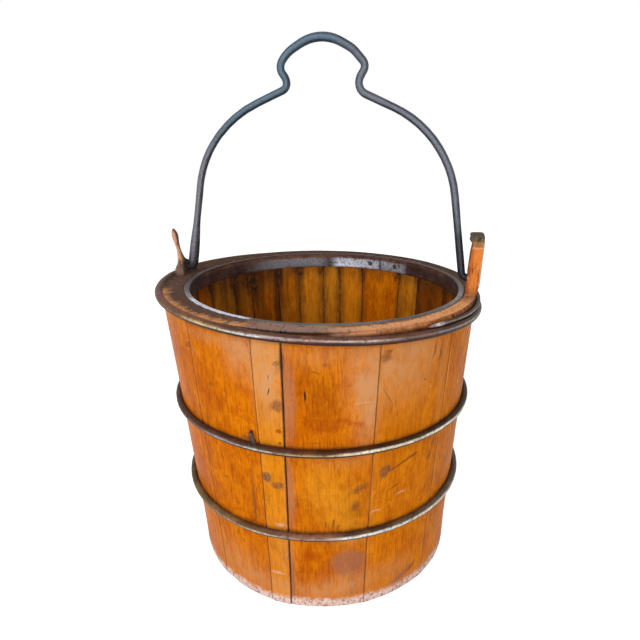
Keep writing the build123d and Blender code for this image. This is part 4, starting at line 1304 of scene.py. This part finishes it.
def ear_rings(index):
    """Rows up an ear: height, rear and front sides, inner and outer radius."""
    if index == left_ear_stave:
        rows = []
        for height_share, front, rear, setback, thickness in left_ear_shares:
            height = body_height + height_share * ear_rise
            outer = wall_radius(height) - left_ear_setback * setback
            sides = rear * ear_half_width, front * ear_half_width
            rows.append((height, *sides, outer - left_ear_thickness * thickness, outer))
        return rows
    rows = []
    top = right_ear_rows[-1][0]
    foot = body_height - mouth_fall / 2
    for height, inner, outer in right_ear_rows:
        over = max(height - foot, 0)
        half = ear_half_width + (ear_top_half_width - ear_half_width) * over / ear_rise
        half += ear_foot_fillet * (1 - sqrt(1 - max(1 - over / ear_foot_fillet, 0) ** 2)) * 0.4
        near_top = max(height - (top - ear_corner), 0) / ear_corner
        half -= ear_corner * (1 - sqrt(max(1 - near_top ** 2, 0)))
        rows.append((height, -half, half, inner, outer))
    return rows


def finer_rows(rows, step):
    """The same rows with more between them, no further apart in height than a step."""
    heights = [rows[0][0]]
    for low, high in zip(rows, rows[1:]):
        count = max(1, round((high[0] - low[0]) / step))
        heights += [low[0] + (high[0] - low[0]) * k / count for k in range(1, count + 1)]
    columns = list(zip(*rows))
    return list(zip(heights, *(np.interp(heights, columns[0], column) for column in columns[1:])))


ear_row_step, ear_edge_round = 0.0009, 0.0017


def ear_mesh(index):
    """One ear as a closed shell of rounded rows."""
    facing = -1 if index == left_ear_stave else 1
    rings = []
    for height, rear, front, inner, outer in finer_rows(ear_rings(index), ear_row_step):
        corner = min(0.98 * (front - rear) / 2, 0.98 * (outer - inner) / 2, ear_edge_round)
        middle, half = (front + rear) / 2, (front - rear) / 2 - corner
        centre, depth = (outer + inner) / 2, (outer - inner) / 2 - corner
        ring = []
        for quarter, (side_sign, out_sign) in enumerate(((1, 1), (-1, 1), (-1, -1), (1, -1))):
            for k in range(4):
                turn = radians(90 * quarter + 30 * k)
                ring.append((middle + side_sign * half + corner * cos(turn),
                             centre + out_sign * depth + corner * sin(turn)))
            if quarter in (0, 2):
                ring += [(middle + side_sign * half * (1 - 2 * s), centre + out_sign * (depth + corner))
                         for s in (0.125, 0.25, 0.375, 0.5, 0.625, 0.75, 0.875)]
            else:
                ring += [(middle + side_sign * (half + corner), centre + out_sign * depth * (1 - 2 * s))
                         for s in (0.2, 0.4, 0.6, 0.8)]
        placed = []
        for side, radius in ring:
            radius += 0.00028 * ripple(side / 0.006 + 5 * index, height / 0.012, 91 + index)
            placed.append(Vector((facing * sqrt(radius ** 2 - side ** 2), facing * side, height)))
        rings.append(placed)
    return ring_tube(rings)


def merged(obj, other, operation):
    """Join or cut one mesh with another and remove the tool."""
    change = obj.modifiers.new("merge", "BOOLEAN")
    change.operation = operation
    change.solver = "EXACT"
    change.object = other
    graph = bpy.context.evaluated_depsgraph_get()
    mesh = bpy.data.meshes.new_from_object(obj.evaluated_get(graph))
    obj.modifiers.clear()
    obj.data = mesh
    bpy.data.objects.remove(other)
    return obj


def pin_hole(facing):
    """Cutter for the hole that the bail's pin turns in."""
    radius, half = bail_rod / 2 + bail_pin_clearance, 0.02
    rings = []
    for out in (-half, half):
        x = facing * (mouth_radius + out)
        rings.append([Vector((x, radius * cos(a), bail_pivot_height + radius * sin(a)))
                      for a in circle(32)])
    return mesh_object("hole", *ring_tube(rings))


def wooden_staves(material):
    """All the staves, the two ear staves with their ears and pin holes."""
    ears = {left_ear_stave: ("ear_stave_left", -1), right_ear_stave: ("ear_stave_right", 1)}
    plain = 0
    for index in range(len(seams)):
        plain += index not in ears
        node, facing = ears.get(index, (f"stave_{plain:02d}", 0))
        obj = mesh_object("wood_" + node, *stave_mesh(index))
        if index in ears:
            merged(obj, mesh_object("lug", *ear_mesh(index), sharp=50), "UNION")
            merged(obj, pin_hole(facing), "DIFFERENCE")
            obj.data.polygons.foreach_set("use_smooth", [True] * len(obj.data.polygons))
            obj.data.set_sharp_from_angle(angle=radians(38))
        paint_wood(obj, index)
        finish_piece(obj, "bucket", "varnished_wood", material, node)


def wooden_bottom(material):
    """The planks of the bottom, their upper edges eased at the joints."""
    reach = inside_radius(chime_height)
    rim = reach + groove_depth - groove_clearance
    flank = (board_thickness - board_edge_thickness) / 2
    low, high = chime_height, chime_height + board_thickness
    cuts = [-rim] + [share * reach for share in board_split_shares] + [rim]
    centre = polar(inside_offset, radians(inside_angle), 0)
    for number, (near, far) in enumerate(zip(cuts, cuts[1:]), 1):
        near, far = near + board_gap / 2, far - board_gap / 2
        rows = 14
        rings = []
        for k in range(rows + 1):
            share = 0.5 - 0.5 * cos(pi * k / rows)
            y = near + (far - near) * share
            ease = 0.0008 if k in (0, rows) else 0.0
            y = max(min(y, rim * 0.9999), -rim * 0.9999)
            wide = sqrt(rim ** 2 - y ** 2)
            narrow = max(sqrt(max(reach ** 2 - y ** 2, 0)), wide * 0.6) - groove_clearance
            warp = 0.0003 * ripple(share * 2 + number, 0.3, 15)
            outline = [(-narrow, low), (-wide, low + flank), (-wide, high - flank), (-narrow, high - ease)]
            outline += [(-narrow + 2 * narrow * j / 12, high - ease + warp * sin(pi * j / 12))
                        for j in range(1, 12)]
            outline += [(narrow, high - ease), (wide, high - flank), (wide, low + flank), (narrow, low)]
            rings.append([Vector((x, y, z)) + centre for x, z in outline])
        points, faces = ring_tube(rings)
        obj = mesh_object(f"wood_bottom_board_{number}", points, faces)
        place = vertex_places(obj)
        write_attribute(obj, "grain", place + np.array([0.3, 1.1, 0.7]) * number)
        finish_piece(obj, "bucket", "bottom_wood", material, f"bottom_board_{number}")


def turned_up_tip(material):
    """The drawn-out end of the middle hoop, bent up against the staves."""
    rod = middle_hoop[0]
    rings = []
    steps = 14
    for i in range(steps + 1):
        t = i / steps
        blunt = 1 if t < 0.9 else sqrt(1 - ((t - 0.9) / 0.101) ** 2) * 0.95 + 0.05
        size = rod * (0.33 - 0.12 * t) * blunt
        height = hoop_tip_length * t
        stand = wall_radius(middle_hoop[1] + height) + size + 0.0012 * sin(pi * t)
        lean = radians(hoop_tip_angle - 0.8 * t)
        ring = []
        for side in circle(12):
            swell = 1 + 0.12 * ripple(t * 5, side, 88)
            out = stand + size * 0.8 * swell * cos(side)
            turn = lean + size * swell * sin(side) / stand
            ring.append(polar(out, turn, middle_hoop[1] + height))
        rings.append(ring)
    obj = mesh_object("iron_hoop_tip", *ring_tube(rings), 60)
    worn_side(obj, tip_highlight)
    return finish_piece(obj, "bucket", "hoop_iron", material)


def place_camera():
    """The camera at the photograph's place, with its pitch and its slight roll."""
    turn, pitch, roll = radians(camera_turn), radians(camera_pitch), radians(camera_roll)
    right = Vector((cos(turn), sin(turn), 0))
    away = Vector((-sin(turn), cos(turn), 0))
    rise = Vector((0, 0, 1))
    forward = away * cos(pitch) - rise * sin(pitch)
    up = away * sin(pitch) + rise * cos(pitch)
    x_dir = right * cos(roll) + up * sin(roll)
    y_dir = up * cos(roll) - right * sin(roll)
    data = bpy.data.cameras.new("camera")
    data.sensor_width = sensor_width
    data.lens = sensor_width * camera_focal_share
    data.clip_start = 0.01
    camera = bpy.data.objects.new("camera", data)
    camera.matrix_world = Matrix(((x_dir.x, y_dir.x, -forward.x, camera_place[0]),
                                  (x_dir.y, y_dir.y, -forward.y, camera_place[1]),
                                  (x_dir.z, y_dir.z, -forward.z, camera_place[2]), (0, 0, 0, 1)))
    bpy.context.scene.collection.objects.link(camera)
    bpy.context.scene.camera = camera


def lamp(name, place, aim, size, power, color=(1, 1, 1)):
    """A soft square lamp turned towards a point."""
    data = bpy.data.lights.new(name, "AREA")
    data.size = size
    data.energy = power
    data.color = color
    obj = bpy.data.objects.new(name, data)
    obj.location = place
    obj.rotation_euler = (Vector(aim) - Vector(place)).to_track_quat("-Z", "Y").to_euler()
    bpy.context.scene.collection.objects.link(obj)


def seen_white(p):
    """1 where the camera, a reflection or a refraction sees the background, otherwise 0."""
    path = p.node("LightPath", {})
    seen = p.math("MAXIMUM", path["Is Camera Ray"], path["Is Glossy Ray"])
    return p.math("MAXIMUM", seen, path["Is Transmission Ray"])


def white_world(level):
    """An even pale sky that the camera and reflections see as white."""
    p = Paint("world", bpy.data.worlds.new("world"))
    bpy.context.scene.world = p.owner
    sky = p.tree.nodes["Background"]
    p.link(tint(1, 1, 1), sky.inputs["Color"])
    p.link(level, sky.inputs["Strength"])
    white = p.node("Background", {"Color": tint(1, 1, 1)})
    mixed = p.node("MixShader", {0: seen_white(p), 1: sky.outputs[0], 2: white[0]})
    p.link(mixed[0], p.tree.nodes["World Output"].inputs["Surface"])


def white_floor():
    """A pale floor that keeps the bucket's shadow and otherwise looks as white as the sky."""
    half, drop, glow_strength = 3.0, 0.0004, 0.75
    corners = ((-half, -half), (half, -half), (half, half), (-half, half))
    floor = mesh_object("floor", [(x, y, -drop) for x, y in corners], [(0, 1, 2, 3)])
    p = Paint("floor")
    p.tree.nodes.remove(p.tree.nodes["Principled BSDF"])
    matt = p.node("BsdfDiffuse", {"Color": tint(0.80, 0.80, 0.80)})
    glow = p.node("Emission", {"Strength": p.times(seen_white(p), glow_strength)})
    both = p.node("AddShader", {0: matt[0], 1: glow[0]})
    p.link(both[0], p.tree.nodes["Material Output"].inputs["Surface"])
    floor.data.materials.append(p.owner)


def dress_kept_nodes(iron, bamboo, dowel_wood):
    """Materials for the small CAD solids that stay as they are."""
    for node, material in (("band_nails", iron), ("stave_pegs", bamboo), ("board_dowels", dowel_wood)):
        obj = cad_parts[node]
        obj.data.materials.clear()
        obj.data.materials.append(material)


place_camera()
lamp("key", (-0.8, -1.55, 1.4), (0, 0, 0.2), 1.4, 14)
lamp("fill", (0.8, -1.65, 1.0), (0, 0, 0.2), 1.2, 8.5)
lamp("low_front", (0.1, -1.6, 0.12), (0, 0, 0.15), 0.8, 5)
white_world(0.44)
white_floor()

hoop_iron = dark_iron("hoop_iron", tint(0.030, 0.016, 0.012), 0.12, 0.80, 0.42, 0.7, 1.0)
band_iron = dark_iron("band_iron", tint(0.022, 0.013, 0.012), 0.15, 0.70, 0.42, 0.8, 1.5)
bail_iron = dark_iron("bail_iron", tint(0.024, 0.022, 0.026), 0.40, 0.75, 0.32, 0.40, 1.0)
wooden_staves(varnished_wood())
wooden_bottom(dull_wood("bottom_wood", tint(0.26, 0.12, 0.05), tint(0.07, 0.035, 0.018)))
lapped_hoop(hoop_iron)
plain_hoop("middle_hoop", middle_hoop, middle_hoop_highlight, hoop_iron, 6)
plain_hoop("lower_hoop", lower_hoop, lower_hoop_highlight, hoop_iron, 7)
turned_up_tip(hoop_iron)
band_ends = list(band_joints) + [band_joints[0] + 360]
for name, start, end in zip(("front", "right", "left"), band_ends, band_ends[1:]):
    band_length("mouth_band_" + name, start, end, band_iron)
forged_bail(bail_iron)
dress_kept_nodes(
    plain_iron("nail_iron", tint(0.16, 0.13, 0.13)),
    hidden_wood("peg_bamboo", tint(0.62, 0.48, 0.26), tint(0.35, 0.24, 0.12)),
    hidden_wood("dowel_wood", tint(0.45, 0.28, 0.14), tint(0.22, 0.12, 0.06)),
)

scene = bpy.context.scene
scene.view_settings.view_transform = "Standard"
